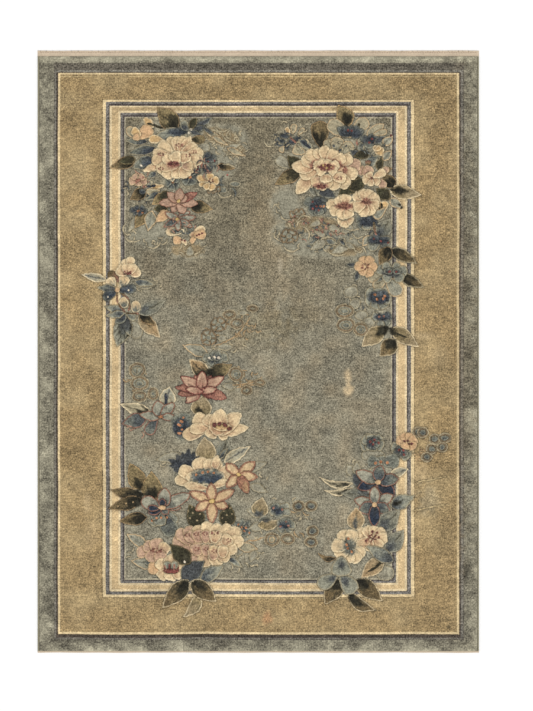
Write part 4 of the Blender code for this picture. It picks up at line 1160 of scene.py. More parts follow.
def tangle_patches(style, u, v, width, height, strokes):
    """Short curled lines strewn over an oval place."""
    random = np.random.default_rng(int(SEED + TANGLE_SEED * u + v))
    made = []
    for _ in range(strokes):
        around, heading = random.uniform(0.0, 2.0 * math.pi, 2)
        out = 0.5 * math.sqrt(random.uniform())
        middle = np.array([u + out * width * math.cos(around), v + out * height * math.sin(around)])
        half = 0.5 * random.uniform(*CURL_LENGTHS)
        run = half * np.array([math.cos(heading), math.sin(heading)])
        bend = random.choice([-CURL_BEND, CURL_BEND])
        made.append(Patch("curl", style, middle - run, middle + run, CURL_WIDTH, bend))
    return made


def form_patches(form, style, numbers):
    """The patches that one form of a spray is made of."""
    if form in GROUPED_FORMS:
        return GROUPED_FORMS[form](style, *numbers)
    if form in RING_SHARES:
        return ring_patches(style, *numbers, RING_SHARES[form])
    if form == "oval":
        return [oval_patch(style, *numbers)]
    if form == "dots":
        size, *places = numbers
        return [oval_patch(style, u, v, size, size, 0.0) for u, v in zip(places[::2], places[1::2])]
    u1, v1, u2, v2, width, *bend = numbers
    return [Patch(form, style, (u1, v1), (u2, v2), width, *(bend or [0.0]))]


def spray_patches(rows):
    """The patches of a spray's rows, in the order that they lie over each other."""
    made = []
    for form, style, *places in rows:
        for numbers in places:
            made.extend(form_patches(form, style, numbers))
    return made


GROUPED_FORMS = {"flower": flower_patches, "heart": heart_patches, "tangle": tangle_patches}

# Edges of the pile cloth and of the plain field, in squares in from left, right, head and foot
SIDE_INSET = (CORD_WIDTH + GAP) / SQUARE
PILE_EDGES = np.array(
    [SIDE_INSET, SIDE_INSET, (HEAD_BAND_DEPTH + GAP) / SQUARE, (FOOT_BAND_DEPTH + GAP) / SQUARE]
)
SHOULDERS = np.array([SIDE_SHOULDER, SIDE_SHOULDER, HEAD_SHOULDER, FOOT_SHOULDER]) / SQUARE
FIELD_EDGES = np.array(STRIPES[-1][:4])
GROOVE_REACH = GROOVE_HALF_WIDTH / SQUARE
FLAT_WIDTH = 3.2


def insets(points):
    """Squares in from the left, right, head and foot edge of the rug."""
    left = points[:, 0] - CHART_LEFT
    head = points[:, 1] - CHART_TOP
    return np.stack([left, CHART_COLUMNS - left, head, CHART_ROWS - head], axis=1)


def drift(points):
    """How far the stripes wander inwards beside each edge, in squares."""
    along = points[:, [1, 1, 0, 0]]
    moved = np.zeros(along.shape)
    for side in range(4):
        line = np.stack([along[:, side], np.zeros(len(points))], axis=1)
        for size, reach in STRIPE_DRIFT:
            moved[:, side] += reach * value_noise(line, size, DRIFT_SEED + side)
    return moved


def stripe_margin(points, lines):
    """Squares inside a stripe's outer line, below 0 outside it."""
    return (insets(points) - np.array(lines) - drift(points)).min(axis=1)


def corners(edges):
    """The corners of a rectangle given by its squares in from each edge, head left first."""
    left, right, head, foot = edges
    low_u, high_u = CHART_LEFT + left, CHART_LEFT + CHART_COLUMNS - right
    low_v, high_v = CHART_TOP + head, CHART_TOP + CHART_ROWS - foot
    return np.array([(low_u, low_v), (high_u, low_v), (high_u, high_v), (low_u, high_v)])


def between(start, end, step):
    """Points from start up to, and without, end."""
    count = max(1, int(round(np.hypot(*(end - start)) / step)))
    return start + np.outer(np.arange(count) / count, end - start)


def rectangle_points(edges, step):
    """Points round a rectangle given by its squares in from each edge."""
    box = corners(edges)
    return np.concatenate([between(box[i], box[(i + 1) % 4], step) for i in range(4)])


def stripe_points(edges, step):
    """Points along a stripe's line, moved inwards as far as it wanders."""
    points = rectangle_points(edges, step)
    side = np.abs(insets(points) - edges).argmin(axis=1)
    inward = np.array([(1.0, 0.0), (-1.0, 0.0), (0.0, 1.0), (0.0, -1.0)])[side]
    return points + inward * drift(points)[np.arange(len(points)), side][:, None]


def seam_points():
    """Points and edges where one piece of the pile ends and the next begins."""
    outer, inner = corners(PILE_EDGES), corners(FIELD_EDGES)
    middle = (inner[0] + inner[2]) / 2.0
    halves = [
        np.array([middle[0], inner[0][1]]),
        np.array([inner[1][0], middle[1]]),
        np.array([middle[0], inner[2][1]]),
        np.array([inner[0][0], middle[1]]),
    ]
    runs = [(outer[i], outer[(i + 1) % 4]) for i in range(4)]
    runs += [(outer[i], inner[i]) for i in range(4)]
    for i in range(4):
        runs += [(inner[i], halves[i]), (halves[i], inner[(i + 1) % 4]), (halves[i], middle)]
    numbers, points, edges = {}, [], []
    for start, end in runs:
        line = [*between(start, end, SEAM_STEP), end]
        used = []
        for point in line:
            key = tuple(round(float(value), SEAM_DIGITS) for value in point)
            if key not in numbers:
                numbers[key] = len(points)
                points.append(point)
            used.append(numbers[key])
        edges.extend(zip(used[:-1], used[1:]))
    return np.array(points), edges


class Room:
    """Keeps the points of the mesh apart, the earlier ones first."""

    def __init__(self):
        shape = (int((CHART_COLUMNS + 2) / ROOM) + 2, int((CHART_ROWS + 2) / ROOM) + 2)
        self.taken = np.zeros(shape, dtype=bool)

    def cells(self, points):
        """The cell that each point lies in."""
        x = ((points[:, 0] - CHART_LEFT + 1.0) / ROOM).astype(int)
        y = ((points[:, 1] - CHART_TOP + 1.0) / ROOM).astype(int)
        return np.clip(x, 0, self.taken.shape[0] - 1), np.clip(y, 0, self.taken.shape[1] - 1)

    def add(self, points, clearance):
        """The points that have room, at least clearance from all that were added before."""
        reach = int(clearance / ROOM)
        busy = self.taken.copy()
        for dx in range(-reach, reach + 1):
            for dy in range(-reach, reach + 1):
                busy |= np.roll(self.taken, (dx, dy), axis=(0, 1))
        x, y = self.cells(points)
        free = np.flatnonzero(~busy[x, y])
        _, first = np.unique(x[free] * self.taken.shape[1] + y[free], return_index=True)
        kept = free[np.sort(first)]
        self.taken[x[kept], y[kept]] = True
        return points[kept]


def covered(points, patches):
    """The number of the topmost patch at each point, or -1."""
    owner = np.full(len(points), -1)
    for number, patch in enumerate(patches):
        near = np.flatnonzero(((points >= patch.low) & (points <= patch.high)).all(axis=1))
        owner[near[inside(points[near], patch.outline)]] = number
    return owner


def outline_rows(patches):
    """Rows of points beside every outline, without the stretches that a later patch covers."""
    made, number_of = [], []
    for number, patch in enumerate(patches):
        if patch.fade > SHARP_FADE:
            continue
        start = patch.outline
        length = np.hypot(*(np.roll(start, -1, axis=0) - start).T)
        walked = np.concatenate([[0.0], np.cumsum(length)])
        count = max(LEAST_STEPS, int(walked[-1] / OUTLINE_STEP))
        steps = walked[-1] * np.arange(count) / count
        closed = np.vstack([start, start[:1]])
        line = np.stack([np.interp(steps, walked, closed[:, i]) for i in range(2)], axis=1)
        run = np.roll(line, -1, axis=0) - np.roll(line, 1, axis=0)
        normal = np.stack([run[:, 1], -run[:, 0]], axis=1)
        normal /= np.maximum(np.hypot(*normal.T), TINY)[:, None]
        area = np.sum(line[:, 0] * np.roll(line[:, 1], -1) - np.roll(line[:, 0], -1) * line[:, 1])
        normal *= math.copysign(1.0, area)
        for shift in OUTLINE_ROWS:
            made.append(line + shift * normal)
            number_of.append(np.full(count, number))
    made, number_of = np.concatenate(made), np.concatenate(number_of)
    return made[covered(made, patches) <= number_of]


def raster(patches):
    """Squares of the chart that lie in a motif."""
    columns, rows = int(CHART_COLUMNS) + 1, int(CHART_ROWS) + 1
    u, v = np.meshgrid(np.arange(columns) + 0.5, np.arange(rows) + 0.5, indexing="ij")
    points = np.stack([u.ravel() + CHART_LEFT, v.ravel() + CHART_TOP], axis=1)
    return (covered(points, patches) >= 0).reshape(columns, rows)


def spread(cells, reach):
    """The squares within reach of a marked one."""
    wide = cells.copy()
    for step in range(1, int(reach) + 1):
        for axis in (0, 1):
            wide |= np.roll(cells, step, axis=axis) | np.roll(cells, -step, axis=axis)
    cells = wide.copy()
    for step in range(1, int(reach) + 1):
        wide |= np.roll(cells, step, axis=0) | np.roll(cells, -step, axis=0)
    return wide


def blurred(cells, size):
    """The marked squares, spread out softly by this many squares."""
    reach = int(HALO_REACH * size)
    weights = np.exp(-0.5 * (np.arange(-reach, reach + 1) / size) ** 2)
    weights /= weights.sum()
    result = cells.astype(float)
    for axis in (0, 1):
        result = sum(
            weight * np.roll(result, step - reach, axis=axis)
            for step, weight in enumerate(weights)
        )
    return result


def at_squares(cells, points):
    """The value of the square that each point lies in."""
    x = np.clip((points[:, 0] - CHART_LEFT).astype(int), 0, cells.shape[0] - 1)
    y = np.clip((points[:, 1] - CHART_TOP).astype(int), 0, cells.shape[1] - 1)
    return cells[x, y]


def fill_points(step, seed):
    """Points all over the rug on a loose grid of this step."""
    random = np.random.default_rng(seed)
    u = np.arange(0.0, CHART_COLUMNS, step)
    v = np.arange(0.0, CHART_ROWS, step * FILL_ROW)
    grid_u, grid_v = np.meshgrid(u, v, indexing="ij")
    grid_u = grid_u + 0.5 * step * (np.arange(len(v)) % 2)
    points = np.stack([grid_u.ravel(), grid_v.ravel()], axis=1)
    points += random.uniform(-JITTER, JITTER, points.shape) * step
    return points + np.array([CHART_LEFT, CHART_TOP])


def places_of(points, cover, near):
    """Where points lie: 0 in a motif, 1 near one, 2 in the plain field and 3 in the border."""
    plain = (insets(points) > FIELD_EDGES).all(axis=1)
    return np.select([at_squares(cover, points), at_squares(near, points), plain], [0, 1, 2], 3)


def mesh_points(patches, cover):
    """All points of the pile's surface, and the edges that keep its pieces apart."""
    room = Room()
    seams, edges = seam_points()
    x, y = room.cells(seams)
    room.taken[x, y] = True
    groups = [seams]

    def add(points, clearance):
        points = points[(insets(points) > PILE_EDGES + EDGE_ROOM).all(axis=1)]
        groups.append(room.add(points, clearance))

    for share in SHOULDER_STEPS:
        add(rectangle_points(PILE_EDGES + share * SHOULDERS, STRIPE_STEP), ROOM)
    for stripe in STRIPES[1:]:
        for shift in STRIPE_ROWS:
            add(stripe_points(np.array(stripe[:4]) + shift, STRIPE_STEP), 0.0)
    add(outline_rows(patches), 0.0)
    near = spread(cover, NEAR)
    for number, step in enumerate(FILL_STEPS):
        points = fill_points(step, SEED + number + 1)
        add(points[places_of(points, cover, near) == number], FILL_ROOM * step)
    return np.concatenate(groups), edges


# Worn and stained places: their middle and half size in squares, the dye and its strength
BLEMISHES = [
    # u, v, half width, half height, dye, strength
    (268, 240, 34, 95, "tan", 0.16),
    (348, 377, 4, 10, "pale cream", 0.85),
    (349, 390, 5.5, 8, "pale cream", 0.90),
    (280, 267, 3, 9, "white", 0.40),
    (267, 618, 6, 9, "orange", 0.45),
    (87, 505, 4, 16, "pale cream", 0.35),
    (92, 535, 9, 20, "pale cream", 0.22),
    (428, 500, 14, 22, "ground light", 0.35),
    (420, 472, 9, 15, "pale cream", 0.28),
    (423, 336, 17, 4, "pale cream", 0.34),
    (440, 355, 9, 13, "pale cream", 0.20),
    (449, 626, 2, 3, "dark", 0.60),
    (456, 330, 30, 290, "groove", 0.20),
    (436, 160, 18, 80, "groove", 0.22),
    (446, 540, 16, 60, "groove", 0.30),
    (474, 330, 9, 290, "outer", 0.10),
    (88, 300, 16, 90, "gold light", 0.25),
    (262, 325, 40, 26, "olive", 0.30),
    (305, 315, 24, 22, "brown", 0.20),
    (240, 345, 30, 12, "brown", 0.14),
    (255, 300, 16, 60, "pale grey", 0.16),
    (190, 300, 34, 24, "slate", 0.12),
    (300, 420, 30, 26, "slate", 0.10),
    (240, 520, 90, 60, "pale grey", 0.20),
    (330, 560, 60, 30, "pale grey", 0.14),
    (408, 492, 10, 14, "pale cream", 0.25),
]
# How ragged a worn place is, and over what share of it its dye fades
STAIN_RAGGED = 0.35
STAIN_FADE = (0.3, 1.1)
# Clouds over the whole pile: their size in squares and strength
GROUND_CLOUDS = ((26.0, 0.055), (9.0, 0.05), (3.2, 0.045), (1.3, 0.04))
# The outer border's share of its light dye: everywhere, at the edges, at the head, in clouds
OUTER_SHARES = (0.34, 0.50, 0.60, 0.90)
OUTER_RANGE = (-0.25, 1.55)
OUTER_CLOUDS = (0.6, 0.5)
OUTER_FADE = 12.0
HEAD_BRUSHED = (11.5, 13.5)
GOLD_RANGE = (-0.3, 0.9)
# How much darker the gold and the cream stripe are at the head and at the foot
END_SHADES = {"gold": (0.04, 0.01), "cream band": (0.15, 0.06)}
END_REACH = (50.0, 85.0)
# The plain field: its tints, its darker head and the lighter ground round the sprays
TINT = 0.22
HEAD_FADE = (90.0, 330.0)
HALO_SIZE = 3.0
HALO_REACH = 3
HALO_GAIN = 2.0
HALO_CLOUD = (0.75, 0.6)
HALO_LIGHT = 0.75
HALO_SHADE = 0.35
SCROLL_WIDTH = 0.07
SCROLL_STRENGTH = 0.55
SCROLL_START = (0.12, 0.5)
SCROLL_FADE = (0.4, 1.2)
# The forms: how uneven their dyes, veins and rims are, and how they meet the ground
WANDER = 0.10
STRAND_WANDER = 0.20
STRAND_STRETCH = 0.3
STRAND_SHIFT = 7.0
VEIN_HALF_WIDTH = 0.55
VEIN_STRENGTH = 0.85
VEIN_START = (0.0, 0.1)
VEIN_END = (0.75, 0.95)
WEAR = 0.12
WEAR_RANGE = (0.25, 0.9)
RIM_SOFTNESS = 0.35
RIM_STRENGTH = (0.86, 0.14)
TONES = (0.05, 0.07, 0.05)
FEATHER = (0.2, 0.35)
EDGE_SOFTNESS = 0.20
# Painted shade: a dark line on the ground just outside each form's outline, where it lies in shadow
# beside the form; its strength, and its reach in squares
LINE_SHADE = 0.30
LINE_REACH = 1.3
DOME = 0.25
BESIDE = 1.4
# Painted shade: the pile's walls darken towards their root to this share of the top's colour
WALL_SHADE = 0.7
DYE_SCALE = 0.955
DYE_TOP = 255.0
# How strong the grain is on a dark and on a light dye, and in a motif
GRAIN_DYES = (95.0, 122.0, 138.0, 172.0)
GRAIN_WEIGHTS = (1.30, 1.06, 0.74, 0.50)
MOTIF_GRAIN = 0.72


def mixed(colours, other, share):
    """Colours with this share of another one, or of others, mixed in at each point."""
    share = np.asarray(share)[:, None]
    return colours * (1.0 - share) + other * share


def patch_colours(patch, points, reach):
    """The dyes of a leaf or petal at these points, reach squares in from its outline."""
    tip, base, rim, vein, rim_width, turn, softness, lean = patch.style
    share, side, half = patch.local(points)
    strand = np.stack([side * half, share * patch.length * STRAND_STRETCH], axis=1)
    streak = noise(strand + STRAND_SHIFT * patch.stem, "strand")
    mottle = noise(points, "mottle")
    place = share + 0.5 * lean * side + WANDER * mottle + STRAND_WANDER * streak
    blend = smooth(turn - softness, turn + softness, place)
    colours = mixed(np.tile(rgb(base), (len(points), 1)), rgb(tip), blend)
    if vein:
        line = np.exp(-((side * half / VEIN_HALF_WIDTH) ** 2)) * smooth(*VEIN_START, share)
        colours = mixed(colours, rgb(vein), VEIN_STRENGTH * line * (1.0 - smooth(*VEIN_END, share)))
    worn = WEAR * smooth(*WEAR_RANGE, noise(points, "wear"))
    colours = mixed(colours, rgb("pale grey"), worn)
    if rim_width > 0:
        edge = 1.0 - smooth(rim_width - RIM_SOFTNESS, rim_width + RIM_SOFTNESS, reach)
        broken = RIM_STRENGTH[0] + RIM_STRENGTH[1] * noise(points, "rim")
        colours = mixed(colours, rgb(rim), edge * broken)
    fine, along, broad = TONES
    tone = 1.0 + fine * noise(points, "tone") + along * streak + broad * mottle
    return colours * tone[:, None]


def outer_light(points, inset):
    """How light the outer border is: brushed and worn towards the edges of the rug."""
    plain, by_edge, by_head, by_cloud = OUTER_SHARES
    edge = 1.0 - np.clip(inset.min(axis=1) / OUTER_FADE, 0.0, 1.0)
    head = 1.0 - smooth(*HEAD_BRUSHED, inset[:, 2])
    cloud = OUTER_CLOUDS[0] * noise(points, "outer") + OUTER_CLOUDS[1] * noise(points, "outer fine")
    return np.clip(plain + by_edge * edge + by_head * head + by_cloud * cloud, *OUTER_RANGE)


def field_colours(points, inset, cover):
    """The dyes of the plain field, darker at the head and lighter round the sprays."""
    shift = noise(points, "tint")
    layer = np.tile(rgb("ground"), (len(points), 1))
    layer = mixed(layer, rgb("tan"), TINT * np.clip(shift, 0.0, 1.0))
    layer = mixed(layer, rgb("slate"), TINT * np.clip(-shift, 0.0, 1.0))
    layer = mixed(layer, rgb("ground head"), 1.0 - smooth(*HEAD_FADE, inset[:, 2]))
    halo = np.clip(HALO_GAIN * at_squares(cover, points), 0.0, 1.0)
    cloud = np.clip(HALO_CLOUD[0] + HALO_CLOUD[1] * noise(points, "halo"), 0.0, 1.0)
    layer = mixed(layer, rgb("ground light"), HALO_LIGHT * halo * cloud)
    layer = mixed(layer, rgb("slate"), HALO_SHADE * halo * (1.0 - cloud))
    scroll = np.abs(noise(points, "scroll")) / SCROLL_WIDTH
    faint = SCROLL_STRENGTH * smooth(*SCROLL_START, halo) * (1.0 - smooth(*SCROLL_FADE, scroll))
    return mixed(layer, rgb("beige"), faint)


def stripe_colours(points, inset, dye):
    """The dyes of one stripe of the border."""
    layer = np.tile(rgb(dye), (len(points), 1))
    if dye in ("gold", "gold line"):
        layer = mixed(layer, rgb("gold light"), smooth(*GOLD_RANGE, noise(points, "gold")))
    if dye in END_SHADES:
        near_ends = 1.0 - smooth(*END_REACH, inset[:, 2:])
        layer = layer * (1.0 - near_ends @ np.array(END_SHADES[dye]))[:, None]
    return layer


def ground_colours(points, cover):
    """The dyes of the stripes and of the plain field, with their clouds and worn places, and the painted
    shadow and highlight lines beside the stripes' grooves.
    """
    inset = insets(points)
    colours = np.tile(rgb("outer"), (len(points), 1))
    colours = mixed(colours, rgb("outer light"), outer_light(points, inset))
    for *lines, dye, _ in STRIPES[1:]:
        if dye == "ground":
            layer = field_colours(points, inset, cover)
        else:
            layer = stripe_colours(points, inset, dye)
        share = smooth(-EDGE_SOFTNESS, EDGE_SOFTNESS, stripe_margin(points, lines))
        colours = mixed(colours, layer, share)
    for number, (size, strength) in enumerate(GROUND_CLOUDS):
        cloud = value_noise(points, size, CLOUD_SEED + number)
        colours = colours * (1.0 + strength * cloud)[:, None]
    for u, v, wide, high, dye, strength in BLEMISHES:
        away = np.hypot((points[:, 0] - u) / wide, (points[:, 1] - v) / high)
        away = away + STAIN_RAGGED * noise(points, "stain")
        colours = mixed(colours, rgb(dye), strength * (1.0 - smooth(*STAIN_FADE, away)))
    return colours


def surface(points, patches, cover):
    """Height in metres, colour and strength of the grain of every point of the pile; the colour is the
    dye with painted shade and highlights.
    """
    colours = ground_colours(points, blurred(cover, HALO_SIZE))
    inset = insets(points)
    groove = np.full(len(points), np.inf)
    for *lines, _, carved in STRIPES:
        if carved:
            groove = np.minimum(groove, np.abs(stripe_margin(points, lines)))
    full = np.full(len(points), GROUND_HEIGHT)
    crown = np.zeros(len(points))
    outline = np.full(len(points), np.inf)
    inked = np.zeros(len(points), dtype=bool)
    for patch in patches:
        near = np.flatnonzero(
            ((points >= patch.low - BESIDE) & (points <= patch.high + BESIDE)).all(axis=1)
        )
        if not len(near):
            continue
        within = inside(points[near], patch.outline)
        reach = distance(points[near], patch.outline)
        here = near[within]
        tint = patch_colours(patch, points[here], reach[within])
        inked[here] = True
        if patch.fade > 0:
            feather = patch.fade * (FEATHER[0] + FEATHER[1] * noise(points[here], "feather"))
            share = smooth(0.0, patch.fade, reach[within] + feather)
            colours[here] = mixed(colours[here], tint, share)
            continue
        colours[here] = tint
        if patch.width < FLAT_WIDTH and patch.form != "curl":
            continue
        # Painted shade: mark the ground just outside this form for the dark line
        outline[near] = np.where(within, np.inf, np.minimum(outline[near], reach))
        if patch.width < FLAT_WIDTH:
            continue
        groove[near] = np.where(within, reach, np.minimum(groove[near], reach))
        full[here] = FLOWER_HEIGHT
        crown[here] = np.clip(reach[within] / (0.5 * patch.width), 0.0, 1.0)
    # Painted shade: darken the colour in a thin line outside the outlines
    shade = 1.0 - LINE_SHADE * (1.0 - smooth(0.0, LINE_REACH, outline))
    colours = np.clip(DYE_SCALE * colours * shade[:, None], 0.0, DYE_TOP)
    texture = np.interp(colours.mean(axis=1), GRAIN_DYES, GRAIN_WEIGHTS)
    texture = np.where(inked, MOTIF_GRAIN * texture, texture)
    bottom = GROUND_HEIGHT - GROOVE_DEPTH
    full = full - DOME * (full - GROUND_HEIGHT) * (1.0 - crown)
    height = bottom + (full - bottom) * np.clip(groove / GROOVE_REACH, 0.0, 1.0)
    height = height + SHEAR_WAVE * (noise(points, "shear") - 1.0)
    edge = np.clip(((inset - PILE_EDGES) / SHOULDERS).min(axis=1), 0.0, 1.0)
    rounded = np.sqrt(np.clip(1.0 - (1.0 - edge) ** 2, 0.0, 1.0))
    return PILE_EDGE_HEIGHT + (height - PILE_EDGE_HEIGHT) * rounded, colours, texture


def linear(colours):
    """Colours from 0 to 255 as shader values."""
    share = np.clip(np.asarray(colours, dtype=float) / 255.0, 0.0, 1.0)
    return np.where(share <= 0.04045, share / 12.92, ((share + 0.055) / 1.055) ** 2.4)


def region_of(points):
    """Which piece of the pile each point belongs to: four borders, then four field quarters."""
    share = (insets(points) - PILE_EDGES) / (FIELD_EDGES - PILE_EDGES)
    region = share.argmin(axis=1)
    middle = (corners(FIELD_EDGES)[0] + corners(FIELD_EDGES)[2]) / 2.0
    quarter = 4 + (points[:, 0] > middle[0]) + 2 * (points[:, 1] > middle[1])
    return np.where(share.min(axis=1) > 1.0, quarter, region)


PILE_PIECES = (
    "pile_border_left",
    "pile_border_right",
    "pile_border_head",
    "pile_border_foot",
    "pile_field_head_left",
    "pile_field_head_right",
    "pile_field_foot_left",
    "pile_field_foot_right",
)
# Where a closed block's walls, bottom and top lie in its flat map
UV_EDGE = 0.01
UV_SPAN = 1.0 - 2.0 * UV_EDGE
UV_WALL = (0.010, 0.030)
UV_BOTTOM = (0.040, 0.060)
UV_TOP = 0.075
SHARP_ANGLE = math.radians(80.0)


def boundary_loop(faces):
    """The vertices round the outside of a patch of triangles, in order."""
    ahead = {}
    directed = {(a, b) for f in faces for a, b in ((f[0], f[1]), (f[1], f[2]), (f[2], f[0]))}
    for a, b in directed:
        if (b, a) not in directed:
            ahead[a] = b
    first = min(ahead)
    loop, at = [first], ahead[first]
    while at != first:
        loop.append(at)
        at = ahead[at]
    return loop


def stretch(values, low, high):
    """Values moved evenly into the range from low to high."""
    span = max(values.max() - values.min(), TINY)
    return low + (high - low) * (values - values.min()) / span


def wall_uvs(count):
    """The flat map of a block's walls, four corners for each."""
    uvs = []
    for i in range(count):
        low, high = (UV_EDGE + UV_SPAN * (k / count) for k in (i, i + 1))
        uvs += [(high, UV_WALL[1]), (low, UV_WALL[1]), (low, UV_WALL[0]), (high, UV_WALL[0])]
    return uvs


def linked(name, mesh):
    """An object of this mesh, linked to the scene."""
    made = bpy.data.objects.new(name, mesh)
    bpy.context.scene.collection.objects.link(made)
    return made


def link_mesh(name, vertices, faces, uvs):
    """A linked object of these faces and their flat map."""
    mesh = bpy.data.meshes.new(name)
    mesh.from_pydata(np.asarray(vertices).tolist(), [], faces)
    layer = mesh.uv_layers.new(name="OFBake")
    layer.data.foreach_set("uv", np.array(uvs).ravel())
    return linked(name, mesh)


def pile_piece(name, points, heights, colours, texture, faces):
    """A closed block of pile: carved top, straight walls and a flat root."""
    used = np.unique(faces)
    number = np.full(len(points), -1)
    number[used] = np.arange(len(used))
    faces = number[faces].tolist()
    loop = boundary_loop(faces)
    around, count = len(loop), len(used)
    place = points[used]
    x = (place[:, 0] - CHART_LEFT) * SQUARE - RUG_WIDTH / 2
    y = RUG_LENGTH / 2 - (place[:, 1] - CHART_TOP) * SQUARE
    top = np.stack([x, y, heights[used]], axis=1)
    root = top[loop].copy()
    root[:, 2] = PILE_ROOT
    flat_u = stretch(x, UV_EDGE, 1.0 - UV_EDGE)
    flat_v = stretch(y, UV_TOP, 1.0 - UV_EDGE)
    root_v = stretch(root[:, 1], *UV_BOTTOM)
    backwards = range(around - 1, -1, -1)
    uvs = [(flat_u[c], flat_v[c]) for f in faces for c in f] + wall_uvs(around)
    uvs += [(1.0 - flat_u[loop[i]], root_v[i]) for i in backwards]
    walls = [
        (loop[(i + 1) % around], loop[i], count + i, count + (i + 1) % around)
        for i in range(around)
    ]
    bottom = tuple(count + i for i in backwards)
    made = link_mesh(name, np.concatenate([top, root]), [*faces, *walls, bottom], uvs)
    # Painted shade: the walls' root corners take a darker copy of the top's colour
    shown = linear(np.concatenate([colours[used], WALL_SHADE * colours[used][loop]]))
    weights = np.concatenate([texture[used], texture[used][loop]])
    # The colour attribute holds the dyes together with their painted shade and highlights
    dye = made.data.color_attributes.new("Dye", "FLOAT_COLOR", "POINT")
    dye.data.foreach_set("color", np.column_stack([shown, weights]).ravel())
    made.data.shade_smooth()
    made.data.set_sharp_from_angle(angle=SHARP_ANGLE)
    return made


def pile_pieces(patches):
    """The pile of the whole rug in its eight pieces, which meet along shared seams."""
    cover = raster(patches)
    points, edges = mesh_points(patches, cover)
    flat, _, triangles, *_ = delaunay_2d_cdt(
        [Vector((u, v)) for u, v in points.tolist()], edges, [], 0, MERGE
    )
    places = np.array([tuple(point) for point in flat])
    faces = np.array([list(t) for t in triangles])
    turn = np.cross(
        places[faces[:, 1]] - places[faces[:, 0]], places[faces[:, 2]] - places[faces[:, 0]]
    )
    faces = np.where((turn > 0)[:, None], faces[:, ::-1], faces)
    heights, colours, texture = surface(places, patches, cover)
    region = region_of(places[faces].mean(axis=1))
    return [
        pile_piece(name, places, heights, colours, texture, faces[region == number])
        for number, name in enumerate(PILE_PIECES)
    ]


# The woven end bands: the step of their mesh, and the pitch and depth of their weave
BAND_STEP = 0.0012
BAND_PITCH = 0.0048
BAND_RELIEF = 0.00022
BAND_WAVE = 0.0005
BAND_WAVE_LENGTHS = (0.310, 0.117)
LEAST_ROWS = 4
BACK_GRID = (62, 84)

# The stitches along the head band, and the cut warp ends on its edge
STITCH_LENGTH = 0.0052
STITCH_PITCH = 0.0066
STITCH_WIDTH = 0.0011
STITCH_RAISED = 0.4
STITCH_INSET = 0.0052
STITCH_STRAY = 0.0005
STITCH_SIDES = (8, 5)
STITCH_SEED = 61
NUB_PITCH = 0.0155
NUB_STEPS = (0.7, 1.35)
NUB_RADIUS = 0.0011
NUB_SIZES = (0.7, 1.3)
NUB_DEPTH = 1.1
NUB_RAISED = 0.9
NUB_INSET = 0.0016
NUB_LEVEL = 0.8
NUB_SIDES = (7, 4)
NUB_SEED = 62

# The thread wound round the side cords, and where their ends lie in the flat map
WIND_PITCH = 0.0016
WIND_DEPTH = 0.00016
WIND_RINGS = 4
CORD_SIDES = 10
END_U = (0.03, 0.06)
END_V = 0.03
END_RADIUS = 0.012


def slab(name, x, y, top, bottom):
    """A closed slab over a grid of places: top and bottom give the heights of its two faces."""
    columns, rows = x.shape
    number = np.arange(columns * rows).reshape(columns, rows)
    count = columns * rows
    upper = np.stack([x.ravel(), y.ravel(), top.ravel()], axis=1)
    rim = [*number[:-1, 0], *number[-1, :-1], *number[:0:-1, -1], *number[0, :0:-1]]
    lower = upper[rim].copy()
    lower[:, 2] = bottom
    a, b = number[:-1, :-1].ravel(), number[1:, :-1].ravel()
    c, d = number[1:, 1:].ravel(), number[:-1, 1:].ravel()
    faces = np.stack([a, b, c, d], axis=1).tolist()
    uv_u, uv_v = stretch(x, UV_EDGE, 1.0 - UV_EDGE), stretch(y, UV_TOP, 1.0 - UV_EDGE)
    uvs = [(uv_u.flat[i], uv_v.flat[i]) for face in faces for i in face]
    total = len(rim)
    for i in range(total):
        after = (i + 1) % total
        faces.append([int(rim[after]), int(rim[i]), count + i, count + after])
    faces.append([count + i for i in range(total - 1, -1, -1)])
    low_u = stretch(lower[:, 0], UV_EDGE, 1.0 - UV_EDGE)
    low_v = stretch(lower[:, 1], *UV_BOTTOM)
    uvs += wall_uvs(total) + [(low_u[i], low_v[i]) for i in range(total - 1, -1, -1)]
    return link_mesh(name, np.concatenate([upper, lower]), faces, uvs)


def wavy_edge(x, outward):
    """How far a band's outer edge stands back from a straight line."""
    wave = sum(np.sin(2 * math.pi * x / length) for length in BAND_WAVE_LENGTHS) / 2
    return -outward * BAND_WAVE * (1 + wave)


def end_band(name, inner, outer):
    """A flat woven band: fine cross ribs, with a slightly uneven outer edge."""
    outward = math.copysign(1.0, outer)
    columns = int(RUG_WIDTH / BAND_STEP)
    rows = max(LEAST_ROWS, int(abs(outer - inner) / BAND_STEP))
    across = np.linspace(-RUG_WIDTH / 2, RUG_WIDTH / 2, columns + 1)
    share = np.linspace(0.0, 1.0, rows + 1)
    if outward < 0:
        share = share[::-1]
    x, part = np.meshgrid(across, share, indexing="ij")
    y = inner + part * (outer + wavy_edge(x, outward) - inner)
    ribs = np.sin(2 * math.pi * x / BAND_PITCH) * np.sin(2 * math.pi * y / BAND_PITCH)
    top = BAND_THICKNESS - BAND_RELIEF * (1.0 - ribs) / 2
    return slab(name, x, y, top, 0.0)


def back_sheet():
    """The flat woven ground that the pile is knotted on."""
    half = RUG_WIDTH / 2 - CORD_WIDTH - GAP
    columns, rows = BACK_GRID
    across, along = np.linspace(-half, half, columns), np.linspace(CLOTH_FOOT, CLOTH_HEAD, rows)
    x, y = np.meshgrid(across, along, indexing="ij")
    return slab("carpet_back", x, y, np.full(x.shape, BACK_THICKNESS), 0.0)


